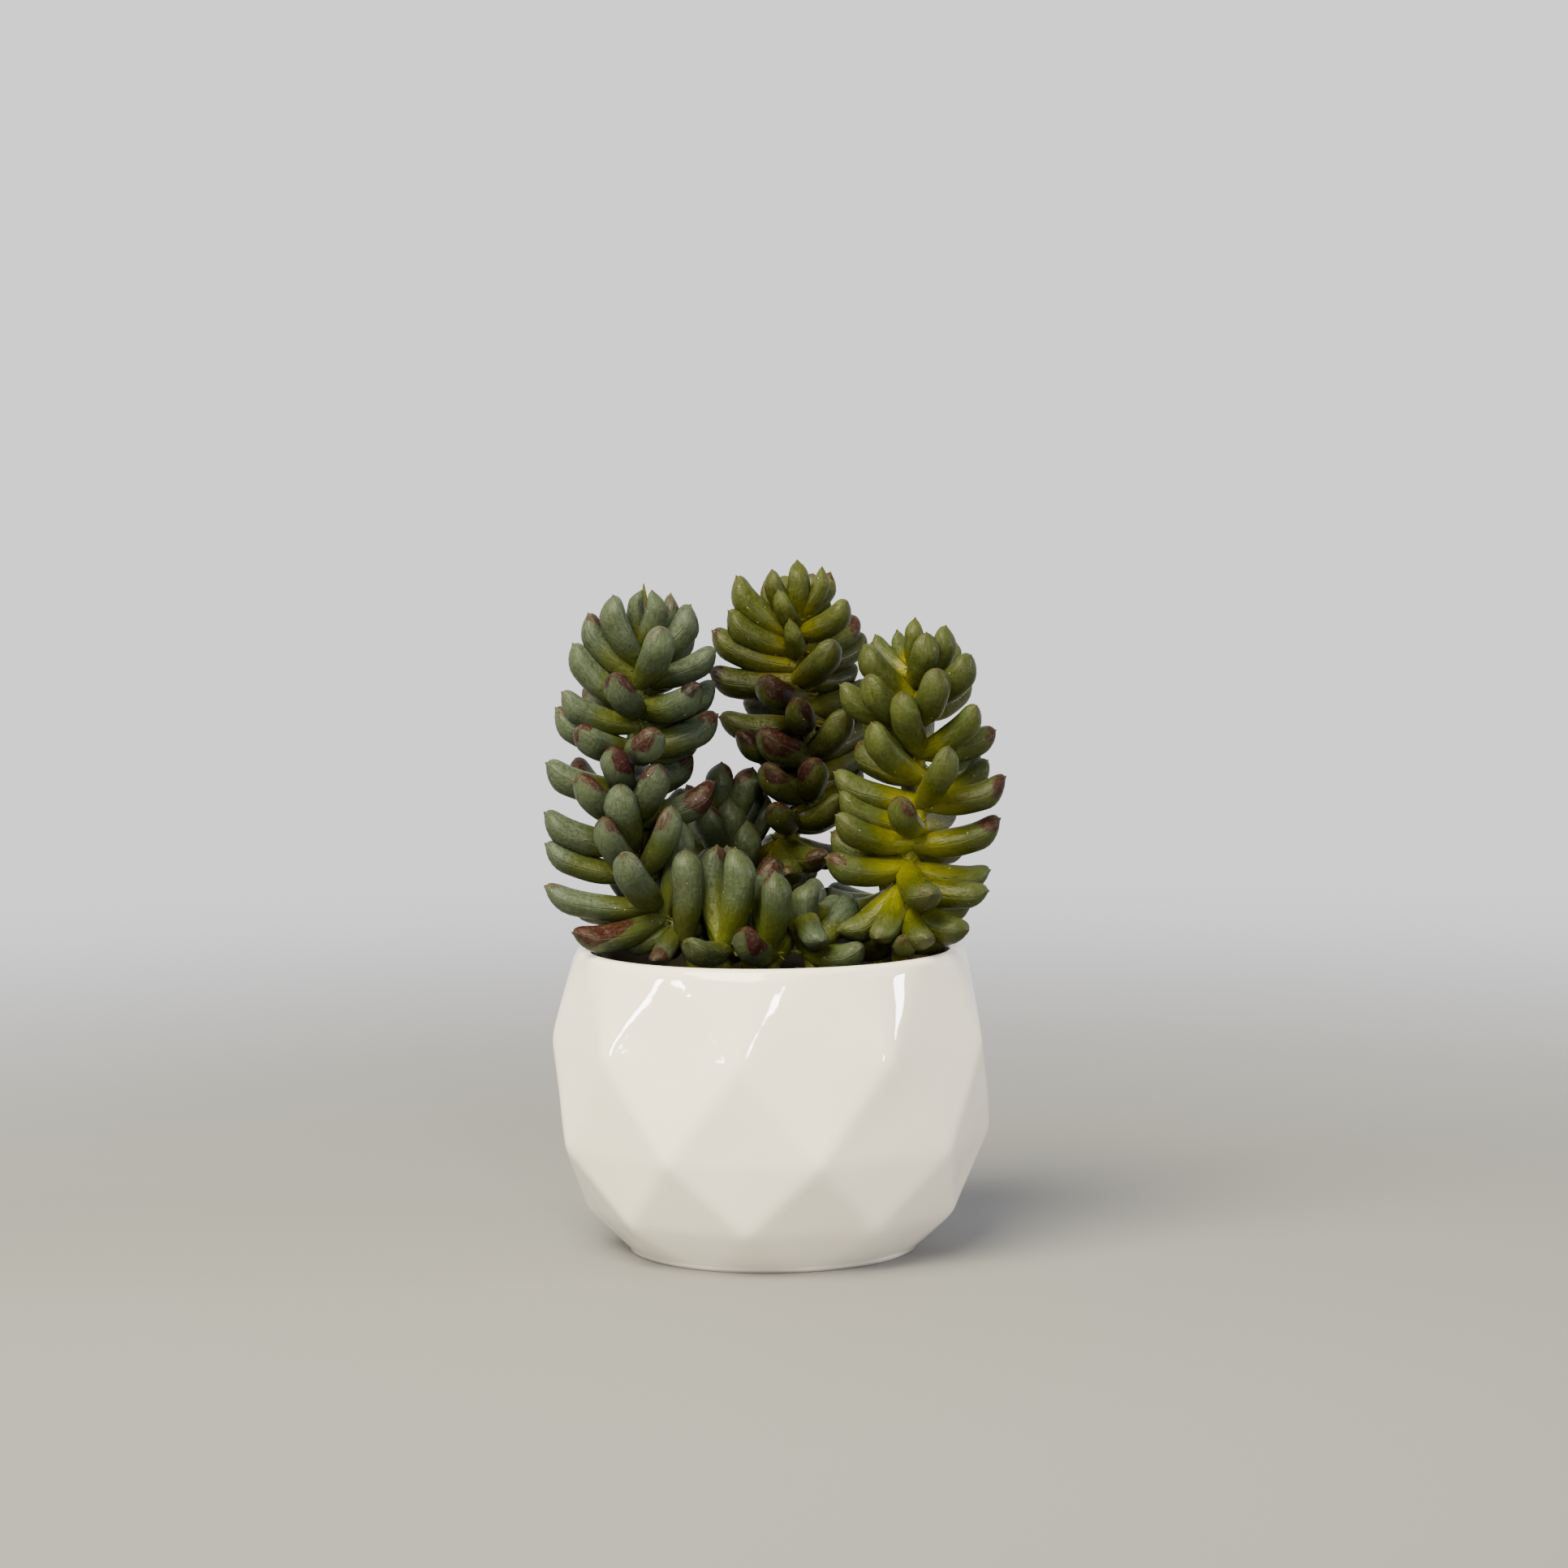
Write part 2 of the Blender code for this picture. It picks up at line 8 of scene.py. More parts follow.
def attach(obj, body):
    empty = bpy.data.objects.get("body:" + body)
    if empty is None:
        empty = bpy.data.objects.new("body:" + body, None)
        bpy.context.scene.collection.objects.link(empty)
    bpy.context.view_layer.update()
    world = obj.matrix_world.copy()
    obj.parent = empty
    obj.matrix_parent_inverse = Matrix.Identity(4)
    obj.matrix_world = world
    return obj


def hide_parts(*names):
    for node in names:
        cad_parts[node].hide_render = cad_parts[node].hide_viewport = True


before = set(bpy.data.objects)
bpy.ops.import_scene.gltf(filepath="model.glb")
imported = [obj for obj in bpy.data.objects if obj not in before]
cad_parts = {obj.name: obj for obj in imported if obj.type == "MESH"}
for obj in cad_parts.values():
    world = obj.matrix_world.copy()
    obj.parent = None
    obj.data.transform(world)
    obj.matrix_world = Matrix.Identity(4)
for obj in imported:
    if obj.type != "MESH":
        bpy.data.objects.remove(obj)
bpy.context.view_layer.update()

# Lengths are in millimetres until a mesh is made, in metres. The origin is the middle of the pot's base,
# +Z is up and -Y is the front. A bearing is an angle about +Z counted from the front towards +X, and a
# rise is an angle above the horizontal, both in degrees.


# Pot
# Slip-cast stoneware: three belts of nine corners, each turned half a step from the next, under a thin
# round rim. A thick warm-white glaze has run over the ridges and softened them. Only the foot is bare.
MM = 0.001
POT_SIDES = 9
POT_TURN = -7.9
# Each belt: its height, its radius, and by how many half steps its corners are turned. The rim and the
# foot are round.
POT_BELTS = ((0.0, 25.6, None), (7.6, 34.1, 0), (20.8, 39.8, 1), (38.9, 39.9, 0), (54.3, 35.3, None))
RIM_RADIUS = 35.3
RIM_WALL = 3.0
RIM_EDGE, POT_HEIGHT = 53.8, 55.0
RIM_ROWS = 9
POT_COLUMNS = 360
# The wall is worked out past both its ends, so that the blur has room there.
WALL_FROM, WALL_TO, WALL_STEP = -6.0, 60.0, 0.6
REACH_ANGLE = 60
GLAZE_ROUNDING = 0.85
GLAZE_RIPPLE, RIPPLE_SHARE = 0.05, (0.2, 1)
RIPPLE_SEED, RIPPLE_COUNT = 5, 8
RIPPLE_WAVES, RIPPLE_CLIMB = (2, 13), (-0.35, 0.35)
PHASES = (0, 6.28)
# The underside and the cavity as (radius, height), each from its middle or rim onwards.
FOOT_MIDDLE, FOOT_MARGIN = ((8.0, 0.0), (20.0, 0.0)), 1.0
FOOT_ROUNDING, FOOT_ROUND_OUT, FOOT_ROUND_UP = 0.5, 0.7, 0.3
CAVITY = ((32.3, 50.0), (32.3, 35.0), (32.3, 20.0), (31.0, 14.0), (28.5, 9.0), (25.5, 6.2), (22.0, 5.0),
          (8.0, 5.0))


def tubes(name, tips, rings, along, finish, smooth=True, values=None):
    """One piece made of closed tubes that all have the same grid.

    tips (tube, 2, 3) are the two end points and rings (tube, row, column, 3) the points between, in
    millimetres. Quads join the rings and triangles close the ends. The UV map is (share of the way round,
    along), with along (row + 2,) counted with the tips. values are numbers to keep for each tube.
    """
    count, rows, columns = rings.shape[:3]
    each = rows * columns + 2
    points = np.concatenate([tips[:, :1], rings.reshape(count, -1, 3), tips[:, 1:]], axis=1)
    here = np.arange(columns)
    after = (here + 1) % columns
    ring = 1 + np.arange(rows)[:, None] * columns
    low, high = ring[:-1], ring[1:]
    quads = np.stack([low + here, low + after, high + after, high + here], axis=-1).reshape(-1, 4)
    start = np.stack([0 * here, 1 + after, 1 + here], axis=-1)
    end = np.stack([ring[-1] + here, ring[-1] + after, 0 * here + each - 1], axis=-1)
    corners = np.concatenate([quads.ravel(), start.ravel(), end.ravel()])
    sizes = np.concatenate([np.full(len(quads), 4), np.full(2 * columns, 3)])

    left, right = here / columns, (here + 1) / columns
    v_low, v_high = along[1:-2, None] + 0 * left, along[2:-1, None] + 0 * left
    u_left, u_right = left + 0 * v_low, right + 0 * v_low
    quad_uv = np.stack([u_left, v_low, u_right, v_low, u_right, v_high, u_left, v_high], axis=-1)
    middle, first, last = (left + right) / 2, along[1] + 0 * left, along[-2] + 0 * left
    start_uv = np.stack([middle, along[0] + 0 * left, right, first, left, first], axis=-1)
    end_uv = np.stack([left, last, right, last, middle, along[-1] + 0 * left], axis=-1)
    uv = np.concatenate([quad_uv.ravel(), start_uv.ravel(), end_uv.ravel()])

    mesh = bpy.data.meshes.new(name)
    mesh.vertices.add(count * each)
    mesh.vertices.foreach_set("co", (points * MM).astype(np.float32).ravel())
    mesh.loops.add(count * len(corners))
    shift = np.arange(count)[:, None] * each
    mesh.loops.foreach_set("vertex_index", (corners[None] + shift).astype(np.int32).ravel())
    mesh.polygons.add(count * len(sizes))
    begins = np.cumsum(np.tile(sizes, count)) - np.tile(sizes, count)
    mesh.polygons.foreach_set("loop_start", begins.astype(np.int32))
    mesh.update(calc_edges=True)
    mesh.validate()
    mesh.uv_layers.new(name="UVMap").uv.foreach_set("vector", np.tile(uv, count).astype(np.float32))
    for key, value in (values or {}).items():
        kept = mesh.attributes.new(key, "FLOAT", "POINT")
        kept.data.foreach_set("value", np.repeat(value, each).astype(np.float32))
    mesh.polygons.foreach_set("use_smooth", np.full(len(mesh.polygons), smooth))
    mesh.materials.append(finish)
    piece = bpy.data.objects.new(name, mesh)
    bpy.context.scene.collection.objects.link(piece)
    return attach(piece, "root")


def belt_reach(bearings, radius, half_steps):
    """How far a belt reaches in each bearing: its radius, times the cosine to the nearest of its corners."""
    if half_steps is None:
        return np.full(len(bearings), radius)
    step = 360.0 / POT_SIDES
    from_corner = (bearings - POT_TURN - half_steps * step / 2 + step / 2) % step - step / 2
    return radius * np.cos(np.radians(from_corner))


def pot_wall(bearings, heights):
    """The pot's outer radius at each height (rows) and bearing (columns).

    Between two belts the outline blends theirs, so its reach in every bearing is their reach blended by
    height. The radius in a bearing is the least reach, over the bearings near it, divided by the cosine
    of the angle between. A Gaussian blur both ways then rounds the ridges as the glaze does, and a few
    slow waves of seeded height and phase keep the glaze from lying dead flat.
    """
    levels = np.array([height for height, _, _ in POT_BELTS])
    reach = np.array([belt_reach(bearings, radius, turned) for _, radius, turned in POT_BELTS])
    below = np.clip(np.searchsorted(levels, heights) - 1, 0, len(levels) - 2)
    share = ((heights - levels[below]) / (levels[below + 1] - levels[below]))[:, None]
    outline = (1 - share) * reach[below] + share * reach[below + 1]
    column = 360.0 / len(bearings)
    near = np.arange(-int(REACH_ANGLE / column), int(REACH_ANGLE / column) + 1)
    around = (np.arange(len(bearings))[:, None] + near[None]) % len(bearings)
    radius = (outline[:, around] / np.cos(np.radians(near * column))).min(axis=2)

    turns = np.fft.rfftfreq(len(bearings), 1 / len(bearings))
    spread = GLAZE_ROUNDING / radius.mean()
    radius = np.fft.irfft(np.fft.rfft(radius, axis=1) * np.exp(-0.5 * (turns * spread) ** 2), axis=1)
    apart = (heights[:, None] - heights[None]) / GLAZE_ROUNDING
    weight = np.exp(-0.5 * apart ** 2)
    radius = weight @ radius / weight.sum(axis=1, keepdims=True)

    draw = np.random.default_rng(RIPPLE_SEED)
    angle = np.radians(bearings)[None]
    for _ in range(RIPPLE_COUNT):
        waves, climb, phase = draw.integers(*RIPPLE_WAVES), draw.uniform(*RIPPLE_CLIMB), draw.uniform(*PHASES)
        depth = GLAZE_RIPPLE * draw.uniform(*RIPPLE_SHARE)
        radius = radius + depth * np.sin(waves * angle + climb * heights[:, None] + phase)
    return radius


class Paint:
    """The node tree of a material or a sky. Its nodes' outputs come wrapped as Flow, for maths on them."""

    def __init__(self, owner, shader="Principled BSDF"):
        owner.use_nodes = True
        self.owner = owner
        self.tree = owner.node_tree
        self.shader = self.tree.nodes[shader]

    def node(self, kind, settings=None, sockets=None, output=0):
        """Adds a node: its settings first, then a value or a Flow for each named socket."""
        made = self.tree.nodes.new(kind)
        for key, value in (settings or {}).items():
            setattr(made, key, value)
        self.fill(made, sockets or {})
        return Flow(self, made.outputs[output])

    def fill(self, made, sockets):
        """Sets each socket of a node to a value, or links it to a Flow."""
        for key, value in sockets.items():
            if isinstance(value, Flow):
                self.tree.links.new(value.socket, made.inputs[key])
            else:
                made.inputs[key].default_value = value

    def noise(self, place, scale, detail=2.0, roughness=0.5):
        """Noise between 0 and 1 at a place, with its scale in lumps to a unit."""
        return self.node("ShaderNodeTexNoise", {}, {"Vector": place, "Scale": scale, "Detail": detail,
                                                    "Roughness": roughness})

    def mix(self, share, first, second):
        """The first colour turned into the second by a share. Sockets that share a name go by number."""
        return self.node("ShaderNodeMix", {"data_type": "RGBA"}, {0: share, 6: first, 7: second}, output=2)

    def step(self, value, low, high):
        """0 below low and 1 above high, with a smooth run between."""
        return self.node("ShaderNodeMapRange", {"interpolation_type": "SMOOTHSTEP"},
                         {"Value": value, "From Min": low, "From Max": high})

    def cells(self, place, scale):
        """How far the middle of the nearest cell is, and a number that is each cell's own."""
        apart = self.node("ShaderNodeTexVoronoi", {}, {"Vector": place, "Scale": scale})
        colour = self.node("ShaderNodeTexVoronoi", {}, {"Vector": place, "Scale": scale}, output="Color")
        return apart, self.node("ShaderNodeSeparateColor", {}, {"Color": colour})

    def kept(self, name):
        """The number that the piece keeps under a name."""
        return self.node("ShaderNodeAttribute", {"attribute_name": name}, output="Fac")

    def along(self, axis, place):
        """One coordinate of a place."""
        return self.node("ShaderNodeSeparateXYZ", {}, {"Vector": place}, output=axis)

    def length(self, place):
        """How far a place is from the origin."""
        return self.node("ShaderNodeVectorMath", {"operation": "LENGTH"}, {0: place}, output="Value")

    def bump(self, height, distance):
        """A normal bent by a height map whose full height is the distance in metres."""
        return self.node("ShaderNodeBump", {}, {"Height": height, "Distance": distance, "Strength": 1.0})


class Flow:
    """A node's output as a number that can be added, multiplied and so on, by Math nodes."""

    def __init__(self, paint, socket):
        self.paint = paint
        self.socket = socket

    def maths(self, operation, *values):
        return self.paint.node("ShaderNodeMath", {"operation": operation}, dict(enumerate(values)))

    def __add__(self, other):
        return self.maths("ADD", self, other)

    def __sub__(self, other):
        return self.maths("SUBTRACT", self, other)

    def __rsub__(self, other):
        return self.maths("SUBTRACT", other, self)

    def __mul__(self, other):
        return self.maths("MULTIPLY", self, other)

    def __abs__(self):
        return self.maths("ABSOLUTE", self)

    __radd__ = __add__
    __rmul__ = __mul__


GLAZE_WHITE = (0.80, 0.75, 0.63, 1)
GLAZE_THIN = (0.85, 0.79, 0.67, 1)
BARE_CLAY = (0.52, 0.47, 0.40, 1)
PINHOLE = (0.16, 0.12, 0.09, 1)
# Painted shade: the dark colour laid over the inside wall, from the grit up to just below the rim.
INSIDE_SHADE_PAINT = (0.045, 0.038, 0.030, 1)
# Patterns as lumps to a metre, and where each mask starts and is full, in metres.
DRIFT_LUMPS, PEEL_LUMPS, FINE_PEEL_LUMPS, PINHOLE_CELLS = 45.0, 160.0, 700.0, 105.0
PINHOLE_CHANCE, PINHOLE_REACH = (0.80, 0.86), (0.010, 0.030)
BARE_HEIGHT, BARE_STRAY = (0.0003, 0.0007), 0.0006
INSIDE_SHADE_RADIUS, INSIDE_SHADE_FLOOR = (0.0328, 0.0336), (0.010, 0.012)
INSIDE_SHADE_TOP, INSIDE_SHADE_STRAY = (0.0525, 0.0545), 0.002
PEEL_DEPTH, FINE_PEEL, PINHOLE_PEEL = 0.00008, 0.12, 0.6
PINHOLE_SHARE, INSIDE_SHADE_SHARE = 0.8, 0.94
GLAZE_ROUGHNESS, DRIFT_ROUGHNESS, CLAY_ROUGHNESS, GLAZE_IOR = 0.03, 0.04, 0.6, 1.52


def glaze():
    """Warm-white glaze with slow drifts of tint, rare pinholes and a faint orange peel.

    The foot is bare clay, and the inside wall below the rim is darkened with painted shade.
    """
    paint = Paint(bpy.data.materials.new("pot_glaze"))
    place = paint.node("ShaderNodeTexCoord", output="Object")
    height = paint.along("Z", place)
    drift = paint.noise(place, DRIFT_LUMPS, 3.0)
    colour = paint.mix(drift, GLAZE_WHITE, GLAZE_THIN)
    apart, lot = paint.cells(place, PINHOLE_CELLS)
    pin = paint.step(lot, *PINHOLE_CHANCE) * (1 - paint.step(apart, *PINHOLE_REACH))
    colour = paint.mix(pin * PINHOLE_SHARE, colour, PINHOLE)
    bare = 1 - paint.step(height + (drift - 0.5) * BARE_STRAY, *BARE_HEIGHT)
    colour = paint.mix(bare, colour, BARE_CLAY)
    flat_place = paint.node("ShaderNodeVectorMath", {"operation": "MULTIPLY"}, {0: place, 1: (1, 1, 0)})
    from_middle = paint.length(flat_place)
    # Painted shade on the inside wall, from the grit up to a ragged edge just below the rim.
    inside = (1 - paint.step(from_middle, *INSIDE_SHADE_RADIUS)) * paint.step(height, *INSIDE_SHADE_FLOOR)
    painted_shade = inside * (1 - paint.step(height + (drift - 0.5) * INSIDE_SHADE_STRAY, *INSIDE_SHADE_TOP))
    colour = paint.mix(painted_shade * INSIDE_SHADE_SHARE, colour, INSIDE_SHADE_PAINT)
    peel = paint.noise(place, PEEL_LUMPS, 2.0) + paint.noise(place, FINE_PEEL_LUMPS, 1.0) * FINE_PEEL
    roughness = GLAZE_ROUGHNESS + drift * DRIFT_ROUGHNESS + bare * CLAY_ROUGHNESS
    paint.fill(paint.shader, {"Base Color": colour, "Roughness": roughness, "IOR": GLAZE_IOR,
                              "Normal": paint.bump(peel - pin * PINHOLE_PEEL, PEEL_DEPTH)})
    return paint.owner


bearings = POT_TURN + 360.0 * np.arange(POT_COLUMNS) / POT_COLUMNS
levels = np.arange(WALL_FROM, WALL_TO, WALL_STEP)
wall = pot_wall(bearings, levels)
shown = (levels > FOOT_ROUNDING) & (levels < RIM_EDGE)
foot_radius = wall[shown][0] - FOOT_ROUNDING
sweep = np.linspace(0, math.pi, RIM_ROWS)
rim_middle = RIM_RADIUS - RIM_WALL / 2
rim_rows = np.stack([rim_middle + RIM_WALL / 2 * np.cos(sweep),
                     RIM_EDGE + (POT_HEIGHT - RIM_EDGE) * np.sin(sweep)], axis=1)
foot_rows = [*FOOT_MIDDLE, (foot_radius.mean() - FOOT_MARGIN, 0.0), (foot_radius.mean(), 0.0),
             (foot_radius.mean() + FOOT_ROUND_OUT * FOOT_ROUNDING, FOOT_ROUND_UP * FOOT_ROUNDING)]
rows = [np.tile(np.array(part)[:, None, :], (1, POT_COLUMNS, 1))
        for part in (foot_rows, rim_rows, CAVITY)]
rows.insert(1, np.stack([wall[shown], np.repeat(levels[shown, None], POT_COLUMNS, axis=1)], axis=2))
radius, height = np.concatenate(rows).transpose(2, 0, 1)
angle = np.radians(bearings)
rings = np.stack([radius * np.sin(angle), -radius * np.cos(angle), height], axis=2)
tips = np.array([[0, 0, 0], [0, 0, CAVITY[-1][1]]], float)
pot = tubes("glazed_pot", tips[None], rings[None], np.linspace(0, 1, len(rings) + 2), glaze())
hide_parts("pot")


# Grit
# Coarse black grit fills the pot to a low dome inside the rim. The stems stand in it, and loose grains
# lie on top, among them a few pale ones.
GRIT_EDGE, GRIT_DOME = 46.0, 1.4
GRIT_REACH = 32.0
GRIT_ROWS, GRIT_COLUMNS = 44, 160
GRIT_LUMP, LUMP_SEED = 0.45, 21
LUMP_WAVES, LUMP_LENGTHS, LUMP_FULL = 14, (1.6, 5.0), 5
GRAIN_COUNT, GRAIN_SEED = 620, 22
GRAIN_SIZE, GRAIN_SQUEEZE, GRAIN_ROUGHNESS = (0.45, 1.15), (0.7, 1.2), (0.75, 1.15)
GRAIN_ROWS, GRAIN_COLUMNS = 3, 7
GRAIN_LIFT, GRAIN_MARGIN = 0.25, 1.0
GRIT_BLACK = (0.012, 0.010, 0.009, 1)
GRIT_BROWN = (0.050, 0.038, 0.028, 1)
GRIT_PALE = (0.30, 0.27, 0.23, 1)
BROWN_LUMPS, CRUMB_LUMPS, CRUMB_DEPTH = 900.0, 1800.0, 0.0003
BROWN_FROM, PALE_FROM = (0.45, 0.70), (0.95, 0.98)
GRIT_ROUGHNESS = 0.9
# The bed's side and underside as (radius, height), from the middle of the underside outwards.
GRIT_UNDER = ((8.0, 5.3), (21.7, 5.3), (28.2, 9.3), (32.0, 20.0), (32.0, 44.0))


def grit_finish():
    """Rough near-black crumbs with brown ones among them, and pale ones where a grain's tone is high."""
    paint = Paint(bpy.data.materials.new("dark_grit"))
    place = paint.node("ShaderNodeTexCoord", output="Object")
    colour = paint.mix(paint.step(paint.noise(place, BROWN_LUMPS, 3.0), *BROWN_FROM), GRIT_BLACK, GRIT_BROWN)
    colour = paint.mix(paint.step(paint.kept("tone"), *PALE_FROM), colour, GRIT_PALE)
    paint.fill(paint.shader, {"Base Color": colour, "Roughness": GRIT_ROUGHNESS,
                              "Normal": paint.bump(paint.noise(place, CRUMB_LUMPS, 3.0), CRUMB_DEPTH)})
    return paint.owner


def grit_height(x, y):
    """The grit's surface: a cosine dome with lumps, a sum of crossing waves of seeded bearing and phase."""
    draw = np.random.default_rng(LUMP_SEED)
    lumps = 0 * x
    for _ in range(LUMP_WAVES):
        bearing, phase, wave = draw.uniform(*PHASES), draw.uniform(*PHASES), draw.uniform(*LUMP_LENGTHS)
        across = (x * math.cos(bearing) + y * math.sin(bearing)) * 2 * math.pi / wave
        lumps = lumps + np.sin(across + phase) * wave / LUMP_FULL
    share = np.minimum(np.hypot(x, y) / GRIT_REACH, 1)
    return GRIT_EDGE + GRIT_DOME * np.cos(math.pi / 2 * share) + GRIT_LUMP * lumps / 2


black_grit = grit_finish()
around = np.linspace(0, 2 * math.pi, GRIT_COLUMNS, endpoint=False)
reach = GRIT_REACH * np.linspace(1, 0, GRIT_ROWS, endpoint=False)[:, None]
x, y = reach * np.sin(around), -reach * np.cos(around)
top = np.stack([x, y, grit_height(x, y)], axis=2)
radius, height = np.array(GRIT_UNDER).T[:, :, None]
under = np.stack([radius * np.sin(around), -radius * np.cos(around), height + 0 * around], axis=2)
bed_rings = np.concatenate([under, top])
bed_tips = np.array([[0, 0, GRIT_UNDER[0][1]], [0, 0, grit_height(np.zeros(1), np.zeros(1))[0]]])
bed = tubes("grit_bed", bed_tips[None], bed_rings[None], np.linspace(0, 1, len(bed_rings) + 2), black_grit,
            values={"tone": np.zeros(1)})
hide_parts("soil")

# A grain is a ball of random radii, squeezed, turned by a random orthogonal matrix and set on the bed.
draw = np.random.default_rng(GRAIN_SEED)
bearing = draw.uniform(0, 2 * math.pi, GRAIN_COUNT)
reach = (GRIT_REACH - GRAIN_MARGIN) * np.sqrt(draw.uniform(0, 1, GRAIN_COUNT))
x, y = reach * np.sin(bearing), -reach * np.cos(bearing)
size = draw.uniform(*GRAIN_SIZE, (GRAIN_COUNT, 1, 1, 1))
size = size * draw.uniform(*GRAIN_SQUEEZE, (GRAIN_COUNT, 1, 1, 3))
polar = math.pi * np.arange(1, GRAIN_ROWS + 1)[:, None] / (GRAIN_ROWS + 1)
around = np.linspace(0, 2 * math.pi, GRAIN_COLUMNS, endpoint=False)
ball = np.stack([np.sin(polar) * np.cos(around), np.sin(polar) * np.sin(around), -np.cos(polar) + 0 * around],
                axis=2)[None]
ball = ball * draw.uniform(*GRAIN_ROUGHNESS, (GRAIN_COUNT, GRAIN_ROWS, GRAIN_COLUMNS, 1)) * size
ends = np.array([[0, 0, -1.0], [0, 0, 1.0]])[None] * size[:, 0]
axes = np.linalg.qr(draw.normal(size=(GRAIN_COUNT, 3, 3)))[0]
axes[:, :, 2] = np.cross(axes[:, :, 0], axes[:, :, 1])
seat = np.stack([x, y, grit_height(x, y) + GRAIN_LIFT], axis=1)
grains = tubes("grit_grains", np.einsum("nij,nkj->nki", axes, ends) + seat[:, None],
               np.einsum("nij,nrcj->nrci", axes, ball) + seat[:, None, None],
               np.linspace(0, 1, GRAIN_ROWS + 2), black_grit, smooth=False,
               values={"tone": draw.uniform(0, 1, GRAIN_COUNT)})


# Stems and leaves
# Each stem is moulded in soft plastic with its leaves: a stalk with a knot at every whorl, and plump
# leaves that part along a thin mould seam and end in a small off-centre nib.

# Stalks: upright in their holes, then curved, thinner to the tip, and a little rough all over.
STEM_FOOT, STEM_STRAIGHT = 39.3, 48.5
STEM_RADIUS, STEM_TIP_RADIUS = 1.7, 1.0
CURVE_STEPS, STALK_STEPS, STALK_COLUMNS = 2, 12, 14
KNOT_SWELL, KNOT_LENGTH, STALK_ROUGHNESS = 0.35, 0.9, 0.03
STALK_FOOT_END, STALK_TOP_END = 0.2, 0.4

# Leaves: plump fingers with a narrow neck, flared at the root. Short ones are more pointed. Names that
# end in POWER are exponents, and places along a leaf are shares of its length.
LEAF_WIDTH, FULL_LEAF, SHORT_POWER = 5.6, 14.0, 0.8
LEAF_CURL = 0.30
LEAF_NECK, NECK_POWER = 0.50, 1.2
LEAF_SHOULDER, LEAF_BLUNT = 0.50, 0.78
LEAF_ROWS, LEAF_COLUMNS = 20, 20
UPPER_SHARE, LOWER_SHARE = 0.90, 0.97
EDGE_TAPER = 0.12
SEAM_LIP, LIP_SPREAD = 0.045, 0.2
ROOT_FLARE, FLARE_LENGTH = 0.40, 1.8
POINTED_BELOW, POINTED_RANGE, POINTED_TAPER = 13.0, 3, 0.30
NIB_LENGTH, NIB_WIDTH, NIB_POWER, NIB_JOIN_POWER = 0.40, 0.80, 0.8, 4
NIB_START, NIB_RISE, NIB_STRAY, NIB_SHIFT_POWER = 0.74, 1.0, 0.3, 1.7
LEAF_SWAY, LEAF_TWIST, TWIST_MIDDLE = 0.06, 0.25, 0.4
LEAF_RIPPLE, LEAF_RIPPLE_WAVES, LEAF_RIPPLE_CLIMB = 0.014, (1, 2, 3), (3, 11)

# Torn bits: a few spikes at each joint, on the side that shows, and one long sliver at a crown. Bearing
# and rise are in radians, and the sliver is given by its two ends.
TORN_COUNT, TORN_BEARING, TORN_RISE = 5, (-1.3, 1.3), (-0.5, 1.0)
TORN_LENGTH, TORN_RADIUS, TORN_GIRTH = (0.5, 2.2), (0.30, 0.60), (0.75, 1.25)
TORN_STRAY, TORN_FLATNESS, SIDE_NUDGE = 0.12, 0.5, 0.001
TORN_ROWS, TORN_COLUMNS = (0.0, 0.3, 0.55, 0.75, 0.92, 1.0), 6
SLIVERS, SLIVER_RADIUS = {"stem_left": [[(-21.2, -8.0, 115.5)], [(-21.9, -8.5, 121.2)]]}, 0.50

# Filling in a whorl: unseen leaves behind, where there is room, each a little unlike the rest.
UNSEEN_BEARINGS = (135, 180, 225)
UNSEEN_RISE = 32.0
LEAF_SPACING = 50.0
SEED = 11
TURN_WANDER = 8.0
HEIGHT_WANDER = 1.5
LENGTH_WANDER = 0.06
WIDTH_WANDER = 0.09

# Bending clear: leaves turn about their roots away from other stems, the rim and the grit.
CLEAR_GAP = 0.5
CLEAR_ROUNDS, PAIRS_EVERY = 150, 15
CLEAR_STATIONS, OUTER_FROM = (0.14, 0.28, 0.42, 0.56, 0.70, 0.82, 0.93), 0.4
BALL_MARGIN, STAKE_MARGIN, NO_LENGTH = 3, 4, 1e-9
SQUEEZE = 0.62
SEEN_GIVE, TURN_GAIN, HOME_PULL = 0.25, 1.5, 0.05

